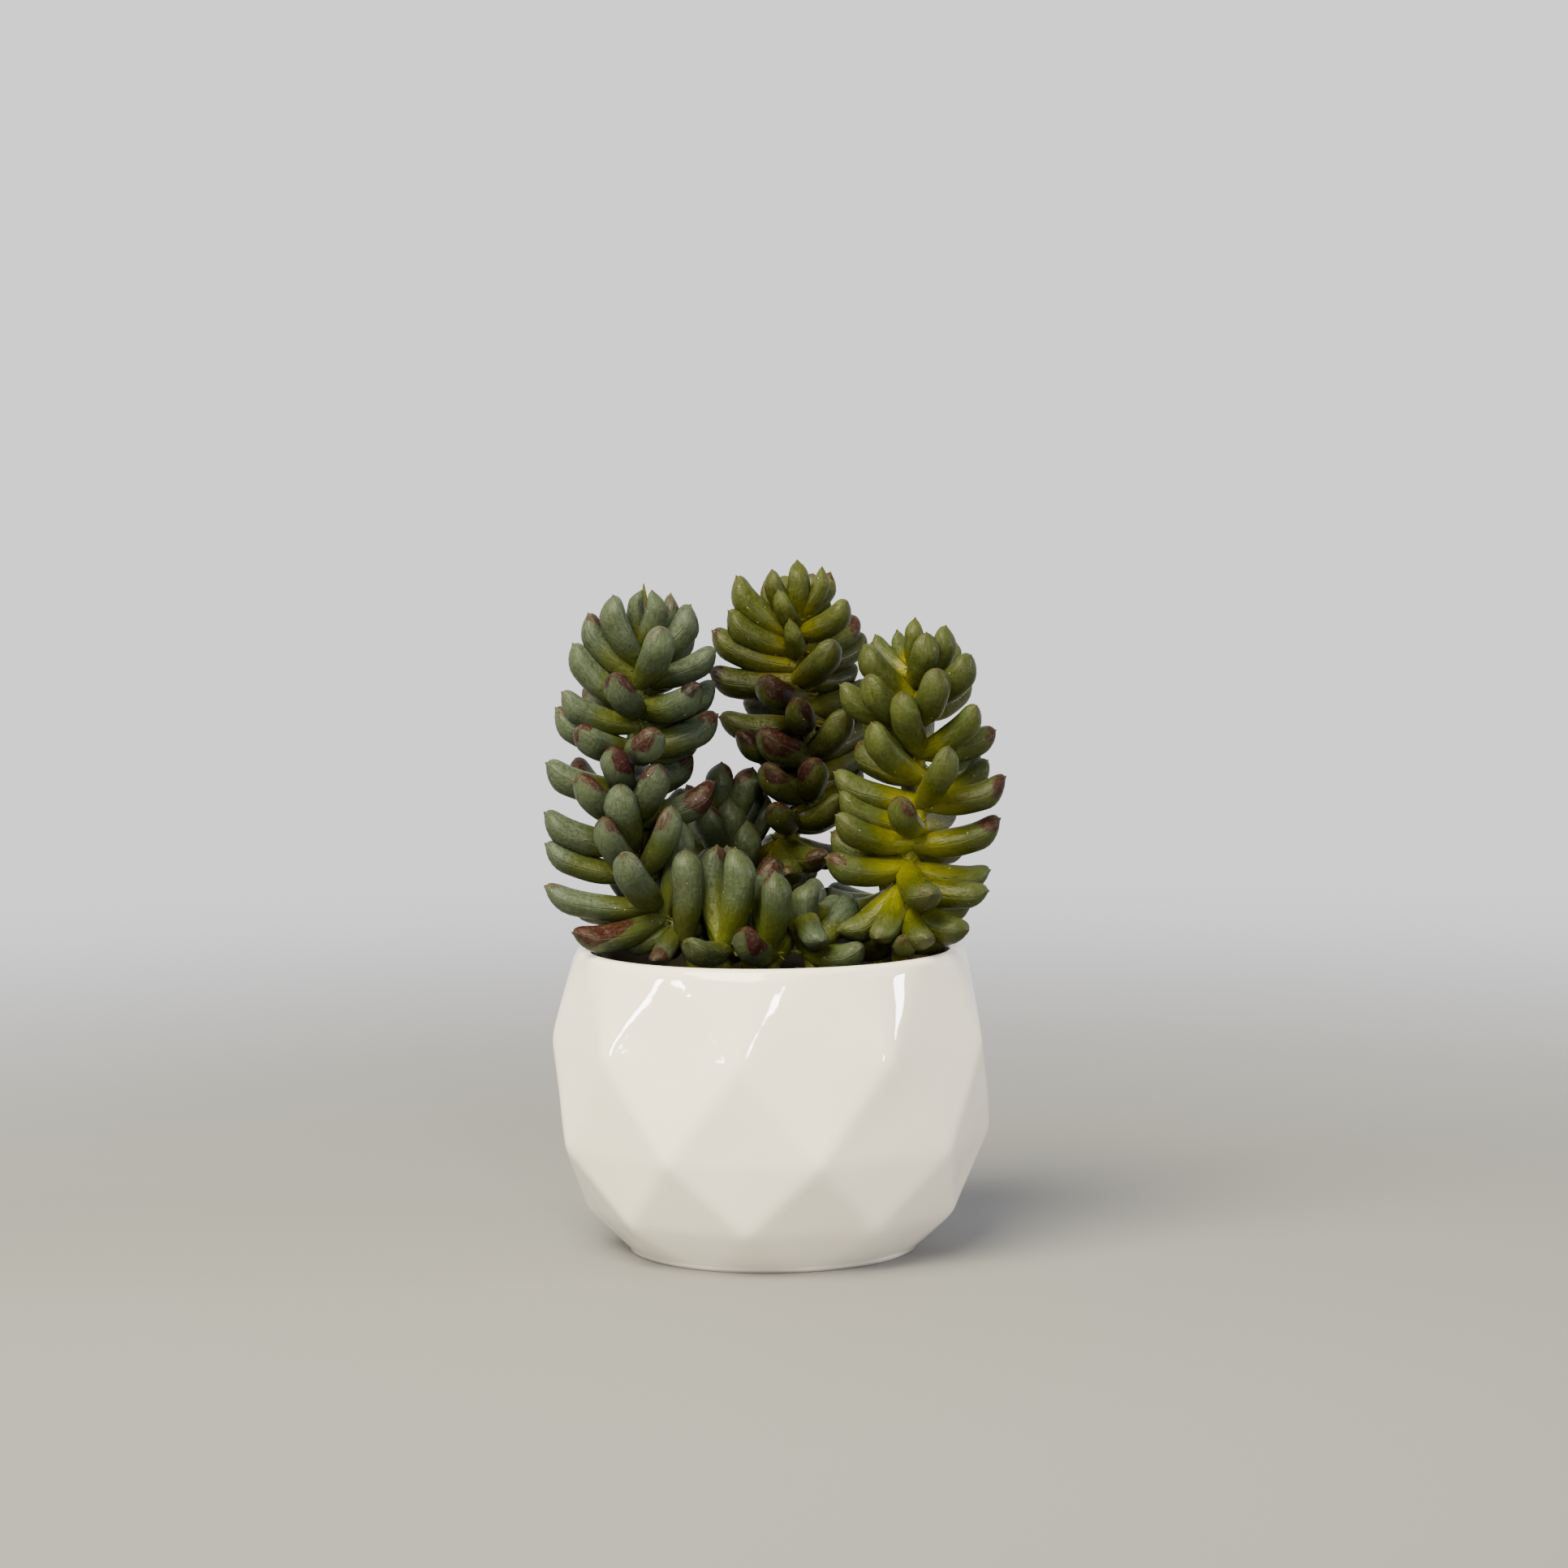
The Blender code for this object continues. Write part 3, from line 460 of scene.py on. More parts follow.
# Each plant: the points its stem passes through above the grit, then its whorls from the top down, as
# (height of the roots, leaf length, then the tips of the leaves that the front shows). A tip is its x and
# its height, with -1 after them on a leaf that leans back.
PLANTS = {
    "stem_left": (
        ((-13.5, -11, 53), (-15.5, -10.5, 58), (-19.5, -9, 62), (-23, -8, 68.5), (-25, -7.5, 77),
         (-25, -7, 87), (-24, -6.5, 94), (-22.8, -6, 100), (-22.5, -6, 112)),
        ((111.5, 9, (-22.8, 120.5)),
         (109.5, 11, (-18.5, 119.5), (-16.6, 119, -1)),
         (106.5, 14, (-28.3, 118.7), (-12.7, 116.5), (-13.8, 112, -1)),
         (103.5, 15, (-32.7, 115.3), (-18.7, 113), (-8.8, 108.8)),
         (98.5, 15.5, (-35.3, 110), (-27, 104.5), (-11.7, 102.2), (-8.8, 101.5, -1)),
         (95.5, 15, (-37.2, 101), (-32.5, 102, -1), (-11.7, 97.5, -1)),
         (91.5, 15.5, (-38.6, 98), (-33.6, 95.3), (-20, 94.5), (-8.5, 97), (-12.7, 92, -1)),
         (84, 15.5, (-27.5, 92), (-40.2, 88.3), (-13.8, 89.8, -1)),
         (79, 16.5, (-33.3, 87), (-18.6, 88.9), (-9, 84)),
         (74, 16.5, (-40.7, 79.3), (-26.7, 85.5)),
         (69, 17, (-16.6, 81.5), (-40.5, 74), (-30, 79.6)),
         (63.5, 18, (-40.6, 66.2), (-36.5, 63.5, -1), (-26.2, 73.6)),
         (61.5, 17.5, (-13.8, 79.2), (-35, 58.3)),
         (59.5, 10.5, (-27, 56), (-20.5, 54)),
         (57.5, 17.5, (-14.1, 74.5)))),
    "stem_middle": (
        ((-4, 9, 54), (-3, 10, 60), (0.5, 11, 69), (5, 12, 77), (8, 12, 85), (7.5, 12, 93),
         (6, 12, 100), (5.3, 12, 107), (5.5, 12, 116)),
        ((114, 10.5, (5.8, 124.2), (11.1, 122.7), (0.5, 122.3)),
         (112, 9.5, (2, 119)),
         (110.5, 13.5, (-6.5, 120.7), (15.2, 116.4), (8, 121.7, -1)),
         (108, 14.5, (-8, 113.6)),
         (107, 9.5, (4.3, 113)),
         (105, 17, (-10.3, 111.5, -1), (18, 110, -1)),
         (102.5, 15.5, (-10.9, 103.4), (12.3, 109.2), (16.7, 103.2, -1)),
         (99.5, 15.5, (-1, 102.5), (14, 96.7, -1)),
         (97, 15.5, (19, 100, -1), (1, 101, -1)),
         (94.5, 16, (-9.2, 95.3), (5.8, 98.8)),
         (89, 16, (-2, 92.8), (-6.4, 91), (15.3, 96.3)),
         (85, 16, (19, 91, -1), (2, 93, -1)),
         (81.5, 15.5, (-0.9, 86.8), (8.5, 88.2)),
         (79.5, 15, (17.5, 84.5, -1)),
         (76.5, 15, (13.4, 81), (1, 80)),
         (72.5, 13.5, (4.9, 66.8), (8.8, 69.5)),
         (64, 14, (-8, 72), (2, 70)))),
    "stem_right": (
        ((23, -9, 53), (23.2, -9, 60), (24, -9, 67), (25.5, -8.5, 74), (27.3, -8, 80.5),
         (27, -8, 88), (26.6, -8, 95), (26.3, -8, 108)),
        ((106, 9, (26, 114.2), (22.6, 110.8, -1)),
         (103, 12, (28.7, 111.4), (32.5, 112.6)),
         (99.5, 14.5, (16.7, 109.5), (36.7, 107.3), (33, 106.5, -1)),
         (96, 15.5, (17, 104), (30.2, 105.2), (12.3, 101.8)),
         (90.5, 15.5, (23.8, 101.3), (37.5, 98.7), (41.2, 93.5, -1)),
         (86, 15.5, (17.8, 95.6), (15.8, 90.9, -1), (38.5, 88.4, -1)),
         (81.5, 16, (11.3, 86.3), (32.2, 91), (42.7, 84.7)),
         (77, 15.5, (12, 82.4), (22.8, 82.3), (32.7, 79.3, -1)),
         (74, 16, (41.8, 77.4), (35.3, 72.8, -1), (11.5, 79)),
         (70, 15.5, (39.7, 67.7, -1), (28.5, 65.5), (9.8, 71.2), (10.8, 75, -1)),
         (67, 15.5, (39.2, 65.5), (18.8, 57.8), (12.3, 57.8)),
         (64, 15, (36.2, 62.2, -1), (35, 58.6), (27, 55.5)),
         (58, 12, (24.3, 57.5)))),
    "shoot_front_left": (
        ((-7.5, -14, 52), (-8, -14, 58)),
        ((57, 18, (-5.3, 74.5)),
         (56, 13.5, (-14.6, 58), (-10.5, 67, -1), (-8, 64, -1)))),
    "shoot_front": (
        ((0.5, -14.5, 52), (-0.5, -14.5, 57)),
        ((56, 15.5, (1.2, 70.3), (3.8, 67, -1)),
         (55, 13.5, (-5, 60), (-3, 66, -1)))),
    "shoot_front_right": (
        ((7.5, -12.5, 52), (6.5, -11.5, 58), (5.5, -11, 64)),
        ((63, 12, (8.8, 57.3), (3.5, 67, -1)),
         (55, 13, (16.4, 56.5), (6.5, 68, -1)))),
    "stem_back_left": (
        ((-11, 14, 53), (-9.5, 14, 62), (-8, 13, 70), (-7.5, 12.5, 77)),
        ((75.5, 12.5, (-9, 87.5), (-4, 86.5)),
         (72.5, 13.5, (-0.5, 83, -1), (-13.5, 83, -1)),
         (70.5, 14.5, (-12, 80), (-15, 74, -1), (0, 76, -1)),
         (67.5, 15, (-6, 81.5)),
         (64, 15.5, (-16, 72, -1), (-20, 66, -1), (-3, 75.5)),
         (58, 14, (-16, 62, -1), (-2, 63, -1)))),
    "stem_back_right": (
        ((20.5, 15, 53), (21.5, 15.5, 60), (21, 15.5, 66)),
        ((65, 11, (18, 73, -1), (25, 73, -1)),
         (61, 14, (9.5, 62.8), (31, 66, -1)),
         (56, 13.5, (12, 57, -1), (30, 58, -1)))),
}


def stem_foot(points):
    """The point on the hole's floor from which a stem rises straight to its first listed point."""
    return points[0][0], points[0][1], STEM_FOOT


def stem_line(points, steps=CURVE_STEPS):
    """Points along a stem: straight up out of its hole, then a Catmull-Rom curve through its points."""
    foot = stem_foot(points)
    way = np.array([foot, (foot[0], foot[1], STEM_STRAIGHT)] + list(points), float)
    ends = np.vstack([2 * way[0] - way[1], way, 2 * way[-1] - way[-2]])
    t = np.linspace(0, 1, steps, endpoint=False)[:, None]
    spans = [0.5 * (2 * b + (c - a) * t + (2 * a - 5 * b + 4 * c - d) * t ** 2
                    + (3 * b - a - 3 * c + d) * t ** 3)
             for a, b, c, d in zip(ends[:-3], ends[1:-2], ends[2:-1], ends[3:])]
    return np.vstack(spans + [way[-1:]])


def half_width(t):
    """Half the leaf's width along its length, for a width of 1: a sine swell, then a blunt round end."""
    t = np.asarray(t, float)
    swell = LEAF_NECK + (1 - LEAF_NECK) * np.sin(np.pi / 2 * np.minimum(t / LEAF_SHOULDER, 1)) ** NECK_POWER
    past = np.maximum(0, (t - LEAF_BLUNT) / (1 - LEAF_BLUNT))
    return 0.5 * swell * np.maximum(0, 1 - past ** 2) ** 0.5


def seen_leaf(root, full_length, tip):
    """A leaf that the front shows, as its bearing, rise and length.

    Its tip's place sets how far it reaches across and up. What is left of its length leans to the front,
    or to the back where the tip has a third value. A tip out of reach makes the leaf longer.
    """
    across, climb = tip[0] - root[0], tip[1] - root[2]
    shown = math.hypot(across, climb)
    length = max(full_length, shown)
    forward = math.sqrt(length ** 2 - shown ** 2) * (1 if len(tip) == 2 else tip[2])
    return math.degrees(math.atan2(across, forward)), math.degrees(math.asin(climb / length)), length


def whole_whorl(root, full_length, tips):
    """The leaves that show, with a looseness of 0, then the ones of 1 behind that stand clear of them."""
    seen = [seen_leaf(root, full_length, tip) for tip in tips]
    rise = min(UNSEEN_RISE, sum(rise for _, rise, _ in seen) / len(seen))
    unseen = [(bearing, rise, full_length) for bearing in UNSEEN_BEARINGS
              if all(abs((bearing - other + 180) % 360 - 180) > LEAF_SPACING for other, _, _ in seen)]
    return [leaf + (0,) for leaf in seen] + [leaf + (1,) for leaf in unseen]


def place_leaves():
    """Every leaf as arrays: plant, root, aim, outward bearing as a vector, length, width and looseness."""
    draw = np.random.default_rng(SEED)
    plant, root, aim, out, length, width, free = [], [], [], [], [], [], []
    for number, (points, whorls) in enumerate(PLANTS.values()):
        line = stem_line(points)
        for height, full_length, *tips in whorls:
            middle = [np.interp(height, line[:, 2], line[:, axis]) for axis in range(3)]
            for bearing, rise, own_length, loose in whole_whorl(middle, full_length, tips):
                change = draw.uniform(-1, 1, 5)
                bearing = math.radians(bearing + change[0] * loose * TURN_WANDER)
                rise = math.radians(rise + change[1] * loose * TURN_WANDER)
                own_length *= 1 + change[2] * loose * LENGTH_WANDER
                at = min(height + change[3] * loose * HEIGHT_WANDER, line[-1, 2] - STEM_TIP_RADIUS)
                outward = np.array([math.sin(bearing), -math.cos(bearing), 0.0])
                plant.append(number)
                root.append([np.interp(at, line[:, 2], line[:, axis]) for axis in range(3)])
                aim.append(outward * math.cos(rise) + np.array([0, 0, math.sin(rise)]))
                out.append(outward)
                length.append(own_length)
                free.append(loose)
                share = min(1, own_length / FULL_LEAF) ** SHORT_POWER
                width.append(LEAF_WIDTH * share * (1 + change[4] * WIDTH_WANDER))
    return [np.array(column) for column in (plant, root, aim, out, length, width, free)]


def upper_side(aim, out):
    """The unit normal of each leaf's upper side: up, leaning back as the leaf rises, square to its aim."""
    normal = -out * aim[:, 2:]
    normal[:, 2] += np.sqrt(np.maximum(0, 1 - aim[:, 2] ** 2))
    normal -= aim * (normal * aim).sum(1, keepdims=True)
    return normal / np.linalg.norm(normal, axis=1, keepdims=True)


def midline(root, aim, out, length, t):
    """Points along each leaf's middle: its chord, sagging below it by a parabola and back at the tip."""
    t = np.asarray(t)[None, :, None]
    sag = LEAF_CURL * (t ** 2 - t) * upper_side(aim, out)[:, None, :]
    return root[:, None, :] + length[:, None, None] * (t * aim[:, None, :] + sag)


def bend_clear(plant, root, aim, out, length, width, free):
    """Turn leaves about their roots until they clear what they would cross.

    Each leaf is a row of balls along its middle. In each round a ball that is too near another plant's
    ball or stem, the grit or the rim is pushed straight out, and the leaf's aim turns with its balls.
    Leaves of one plant may press into each other a little, and a leaf that shows gives way less than a
    loose one. The first half of the rounds also pulls each leaf back towards its first aim.
    """
    stations = np.array(CLEAR_STATIONS)
    count, each = len(aim), len(stations)
    start = aim.copy()
    radius = (half_width(stations)[None, :] * width[:, None]).ravel()
    owner = plant[np.repeat(np.arange(count), each)]
    leaf = np.repeat(np.arange(count), each)
    outer = np.tile(stations > OUTER_FROM, count)
    give = np.where(free, 1.0, SEEN_GIVE)[:, None]
    stems = [stem_line(points) for points, _ in PLANTS.values()]
    post = np.vstack(stems)
    post_owner = np.repeat(np.arange(len(stems)), [len(line) for line in stems])
    wall_middle, wall_half = RIM_RADIUS - RIM_WALL / 2, RIM_WALL / 2
    for step in range(CLEAR_ROUNDS):
        ball = midline(root, aim, out, length, stations).reshape(-1, 3)
        if step % PAIRS_EVERY == 0:
            apart = np.linalg.norm(ball[:, None] - ball[None], axis=2)
            same = owner[:, None] == owner[None]
            near = (apart < radius[:, None] + radius[None] + BALL_MARGIN) & (leaf[:, None] < leaf[None])
            near &= ~same | (outer[:, None] & outer[None])
            one, two = np.where(near)
            alike = same[one, two]
            keep = (radius[one] + radius[two]) * np.where(alike, SQUEEZE, 1) + np.where(alike, 0, CLEAR_GAP)
            apart = np.linalg.norm(ball[:, None] - post[None], axis=2)
            beside = apart < radius[:, None] + STEM_RADIUS + STAKE_MARGIN
            third, stake = np.where(beside & (owner[:, None] != post_owner[None]))
        push = np.zeros_like(ball)
        away = ball[one] - ball[two]
        apart = np.linalg.norm(away, axis=1) + NO_LENGTH
        away *= (np.maximum(0, keep - apart) / apart / 2)[:, None]
        np.add.at(push, one, away)
        np.add.at(push, two, -away)
        away = ball[third] - post[stake]
        apart = np.linalg.norm(away, axis=1) + NO_LENGTH
        away *= (np.maximum(0, radius[third] + STEM_RADIUS + CLEAR_GAP - apart) / apart)[:, None]
        np.add.at(push, third, away)
        push[:, 2] += np.maximum(0, GRIT_EDGE + GRIT_DOME + CLEAR_GAP + radius - ball[:, 2])
        reach = np.hypot(ball[:, 0], ball[:, 1]) + NO_LENGTH
        across = reach - wall_middle
        over = ball[:, 2] - np.minimum(ball[:, 2], POT_HEIGHT - wall_half)
        apart = np.hypot(across, over) + NO_LENGTH
        short = np.maximum(0, radius + wall_half + CLEAR_GAP - apart) / apart
        push += np.stack([short * across * ball[:, 0] / reach, short * across * ball[:, 1] / reach,
                          short * over], axis=1)
        turn = (push.reshape(count, each, 3) * stations[None, :, None]).sum(1)
        turn *= TURN_GAIN * give / (stations ** 2).sum() / length[:, None]
        home = HOME_PULL if step < CLEAR_ROUNDS / 2 else 0.0
        aim = aim + turn + (start - aim) * home
        aim /= np.linalg.norm(aim, axis=1, keepdims=True)
    return aim


def leaf_surfaces(root, aim, out, length, width, draw):
    """Every leaf's rings (leaf, row, column, 3) and end points (leaf, 2, 3).

    The rows crowd towards both ends by a cosine. A ring is a circle squeezed to a lens: its height is
    sine to the power 1 + EDGE_TAPER, less above than below, and a narrow lip stands out at both edges,
    where the two halves of the mould met. Each leaf is bent a little sideways, twisted along its length
    and rippled by three waves. The blunt end runs out in a nib, which sits off the middle.
    """
    count = len(root)
    t = np.concatenate([[0], (1 - np.cos(np.pi * np.arange(1, LEAF_ROWS + 1) / (LEAF_ROWS + 1))) / 2, [1]])
    around = 2 * np.pi * np.arange(LEAF_COLUMNS) / LEAF_COLUMNS
    nib = NIB_LENGTH / length[:, None]
    body = np.minimum(t[None] / (1 - nib), 1)
    pointed = np.clip((POINTED_BELOW - length) / POINTED_RANGE, 0, 1)[:, None]
    half = half_width(body) * (1 - POINTED_TAPER * pointed * body ** 2) * width[:, None]
    spike = NIB_WIDTH / 2 * np.clip((1 - t[None]) / nib, 0, 1) ** NIB_POWER
    half = (half ** NIB_JOIN_POWER + spike ** NIB_JOIN_POWER) ** (1 / NIB_JOIN_POWER)
    half = half * (1 + ROOT_FLARE * np.exp(-t[None] * length[:, None] / FLARE_LENGTH))

    normal = upper_side(aim, out)
    side = np.cross(aim, normal)
    middle = midline(root, aim, out, length, t)
    off = np.clip((t - NIB_START) / (1 - NIB_START), 0, 1) ** NIB_SHIFT_POWER
    lean = draw.normal(0, NIB_STRAY, (count, 2))
    middle = middle + normal[:, None] * ((NIB_RISE + lean[:, :1]) * off)[..., None]
    middle = middle + side[:, None] * (lean[:, 1:] * off)[..., None]
    sway = draw.normal(0, LEAF_SWAY, count)
    middle = middle + side[:, None] * (sway[:, None] * length[:, None] * (t ** 2 - t)[None])[..., None]

    roll = draw.normal(0, LEAF_TWIST, count)[:, None] * (t[None] - TWIST_MIDDLE)
    turned_side = side[:, None] * np.cos(roll)[..., None] + normal[:, None] * np.sin(roll)[..., None]
    turned_up = normal[:, None] * np.cos(roll)[..., None] - side[:, None] * np.sin(roll)[..., None]
    cosine, sine = np.cos(around), np.sin(around)
    across = cosine * (1 + SEAM_LIP * np.exp(-(sine / LIP_SPREAD) ** 2))
    up = sine * np.abs(sine) ** EDGE_TAPER * np.where(sine > 0, UPPER_SHARE, LOWER_SHARE)
    ripple = 0
    for waves in LEAF_RIPPLE_WAVES:
        climb = draw.uniform(*LEAF_RIPPLE_CLIMB, count)[:, None, None]
        phase = draw.uniform(*PHASES, count)[:, None, None]
        ripple = ripple + np.sin(waves * around[None, None] + climb * t[None, :, None] + phase)
    girth = half[..., None] * (1 + LEAF_RIPPLE * ripple)
    rings = middle[:, :, None] + (girth * across)[..., None] * turned_side[:, :, None]
    rings = rings + (girth * up)[..., None] * turned_up[:, :, None]
    return np.stack([middle[:, 0], middle[:, -1]], axis=1), rings[:, 1:-1], t


def stalk_surface(points, heights, draw):
    """A stalk's rings and end points: a tapering tube with a knot swollen round every whorl, and rough."""
    line = stem_line(points, STALK_STEPS)
    along = np.linspace(0, 1, len(line))
    radius = STEM_RADIUS + (STEM_TIP_RADIUS - STEM_RADIUS) * along
    knots = np.exp(-((line[:, 2:] - np.array(heights)[None]) / KNOT_LENGTH) ** 2).sum(axis=1)
    tangent = np.gradient(line, axis=0)
    tangent /= np.linalg.norm(tangent, axis=1, keepdims=True)
    across = np.cross(tangent, [0, 1, 0])
    across /= np.linalg.norm(across, axis=1, keepdims=True)
    ahead = np.cross(tangent, across)
    around = 2 * np.pi * np.arange(STALK_COLUMNS) / STALK_COLUMNS
    rough = 1 + draw.normal(0, STALK_ROUGHNESS, (len(line), STALK_COLUMNS))
    girth = ((radius + KNOT_SWELL * knots)[:, None] * rough)[..., None]
    rings = line[:, None] + girth * (np.cos(around)[None, :, None] * across[:, None]
                                     + np.sin(around)[None, :, None] * ahead[:, None])
    tips = np.stack([line[0] - tangent[0] * STALK_FOOT_END, line[-1] + tangent[-1] * STALK_TOP_END])
    return tips[None], rings[None], np.concatenate([[0], along, [1]])


def joint_spikes(points, heights, draw):
    """Where the torn bits at the joints start and end: TORN_COUNT round the front of every whorl."""
    line = stem_line(points, STALK_STEPS)
    seat = np.stack([np.interp(heights, line[:, 2], line[:, axis]) for axis in range(3)], axis=1)
    seat = np.repeat(seat, TORN_COUNT, axis=0)
    bearing, rise = draw.uniform(*TORN_BEARING, len(seat)), draw.uniform(*TORN_RISE, len(seat))
    flat = np.cos(rise)
    outward = np.stack([np.sin(bearing) * flat, -np.cos(bearing) * flat, np.sin(rise)], axis=1)
    reach = STEM_RADIUS + KNOT_SWELL + draw.uniform(*TORN_LENGTH, len(seat))
    return seat, seat + outward * reach[:, None]


def torn_bits(seat, end, radius, draw):
    """Thin crooked spikes of torn plastic, each from its seat to its end.

    A spike's radius falls with the square root of the share still to go, it is flatter from front to back,
    and its middle strays by TORN_STRAY. The nudge gives a side to one that points straight back.
    """
    t = np.array(TORN_ROWS)
    middle = seat[:, None] + (end - seat)[:, None] * t[None, :, None]
    middle = middle + draw.normal(0, TORN_STRAY, middle.shape) * (t * (1 - t) * 4)[None, :, None]
    across = np.cross(end - seat, [0, 1, 0]) + SIDE_NUDGE
    across /= np.linalg.norm(across, axis=1, keepdims=True)
    ahead = np.cross(end - seat, across)
    ahead /= np.linalg.norm(ahead, axis=1, keepdims=True)
    around = 2 * np.pi * np.arange(TORN_COLUMNS) / TORN_COLUMNS
    girth = radius[:, None, None] * np.sqrt(1 - t[1:-1])[None, :, None]
    girth = girth * draw.uniform(*TORN_GIRTH, (len(seat), len(t) - 2, TORN_COLUMNS))
    rings = middle[:, 1:-1, None] + (girth * np.cos(around))[..., None] * across[:, None, None]
    rings = rings + (girth * np.sin(around) * TORN_FLATNESS)[..., None] * ahead[:, None, None]
    return np.stack([middle[:, 0], middle[:, -1]], axis=1), rings, t


# What lies on every skin: the pale seam, a painted highlight, the brown nib, the haze round a blotch and its
# pale flecks, painted as highlight specks, the black of a burnt tip, specks of dust painted bright as glints,
# a film of dust, and frosted scratches.
# The seam's pale hairline is a painted highlight along its lip.
PAINTED_SEAM_HIGHLIGHT = (0.13, 0.145, 0.075, 1)
NIB_BROWN = (0.05, 0.028, 0.018, 1)
BLUSH_HAZE = (0.038, 0.027, 0.015, 1)
# Pale flecks in the blotch, painted as highlight specks.
BLUSH_HIGHLIGHT_FLECK = (0.085, 0.036, 0.026, 1)
CHAR = (0.006, 0.004, 0.003, 1)
# Specks of dust, painted bright as glints.
DUST_AND_GLINT = (0.45, 0.50, 0.40, 1)
DUST_FILM = (0.11, 0.13, 0.075, 1)
FROST = (0.15, 0.17, 0.11, 1)
# Patterns as lumps to a metre, or as how often they change round the leaf and along it. NOISE is the scale
# there, the detail and the roughness.
LEAF_LUMPS, FINE_LUMPS, DUST_AND_GLINT_CELLS = 260.0, 1500.0, 620.0
STREAKS_ROUND, STREAKS_ALONG, SCRATCHES_ROUND, SCRATCHES_ALONG = 9.0, 1.8, 60.0, 5.0
STREAK_NOISE, SCRATCH_NOISE, FRONT_NOISE = (2.2, 4.0, 0.65), (1.6, 2.0), (0.35, 1.0)
SEED_STEP = 40.0
DUST_AND_GLINT_CHANCE, DUST_AND_GLINT_REACH = (0.86, 0.88), (0.05, 0.13)
# Where each mask starts and is full, first along the leaf as shares of its length, then as the level of a
# pattern, and last the seam's half width.
FLESH_RUN, BLOOM_EDGE, BLOTCH_EDGE = (0.10, 0.60), (-0.09, 0.14), (0.92, 1.04)
NIB_FADE, NIB_RUN, SEAM_RUN = (0.94, 0.985), (0.965, 0.985), (0.12, 0.3)
SCRATCH_LEVEL, BLOOM_LEVEL, MOTTLE_LEVEL = (0.62, 0.72), (0.36, 0.62), (0.46, 0.60)
HAZE_LEVEL, BLUSH_LEVEL, FLECK_LEVEL, CHAR_LEVEL = (0.15, 0.90), (0.58, 0.88), (0.56, 0.66), (0.1, 0.9)
RED_LEVEL, SEAM_EDGE = (0.05, 0.5), (0.015, 0.055)
# How far the lumps push an edge out of line, and how the blotch reaches back and round the leaf.
FLESH_STRAY, FRONT_STRAY, EDGE_STRAY, BLOTCH_FRAY, HAZE_FRAY = 0.3, 0.5, 0.12, 0.24, 0.5
BLOTCH_REACH, BLOTCH_SIDE, SIDE_STRAY = 0.50, 0.55, 0.36
# How much of each pattern is in a mix: the bloom's and the relief's of streaks, fine noise and lumps, the
# ragged edge's of the same, and the blotch's of lumps and fine noise.
BLOOM_MIX, RAGGED_MIX, MOTTLE_MIX = (0.45, 0.35, 0.20), (1.7, 1.2, 0.5), (0.4, 0.6)
RELIEF_MIX, SPECK_RELIEF, SEAM_RELIEF, SCRATCH_RELIEF = (0.35, 0.35, 0.5), 0.8, 0.5, 0.3
# How strongly each thing shows.
# The bloom is thinner on the underside: partly the wax's own spread, and partly painted shade that darkens
# the underside.
BLOOM_SHARE, UPPER_BLOOM_AND_SHADE, WAX_SHARE, FROST_BARE = 0.76, 0.20, 0.90, 0.6
PALE_MIDDLE, PALE_TIP = 0.7, 0.2
FILM_SHARE, FROST_SHARE, FROST_SCRATCHES = 0.35, 0.6, 0.07
HAZE_SHARE, RED_GAIN, RED_SHARE, MOTTLE_SHARE, FLECK_SHARE = 0.45, 1.1, 0.97, 0.32, 0.30
CHAR_GAIN, CHAR_SHARE, NIB_SHARE, NIB_CLEAR = 3, 0.9, 0.7, 0.35
SEAM_STREAKS, SEAM_BREAKS, SPECK_SHARE = 0.5, 0.05, 0.7
# The skin's brightness: a base, the leaf's tone, fine noise, and painted light that makes the upper side
# lighter.
LIGHT, TONE_LIGHT, FINE_LIGHT, PAINTED_UPPER_LIGHT = 0.60, 0.40, 0.38, 0.06
# The skin's gloss, relief in metres, and depth.
SKIN_ROUGHNESS, WAX_ROUGHNESS, FINE_ROUGHNESS = 0.34, 0.14, 0.3
SKIN_GLOSS = {"IOR": 1.45, "Specular IOR Level": 0.16, "Coat Weight": 0.03, "Coat Roughness": 0.18}
SKIN_DEPTH = {"Subsurface Weight": 0.25, "Subsurface Radius": (1.0, 0.9, 0.35), "Subsurface Scale": 0.002}
LEAF_RELIEF = 0.00042


def weighed(weights, *patterns):
    """The patterns added up, each times its own weight."""
    total = patterns[0] * weights[0]
    for pattern, weight in zip(patterns[1:], weights[1:]):
        total = total + pattern * weight
    return total


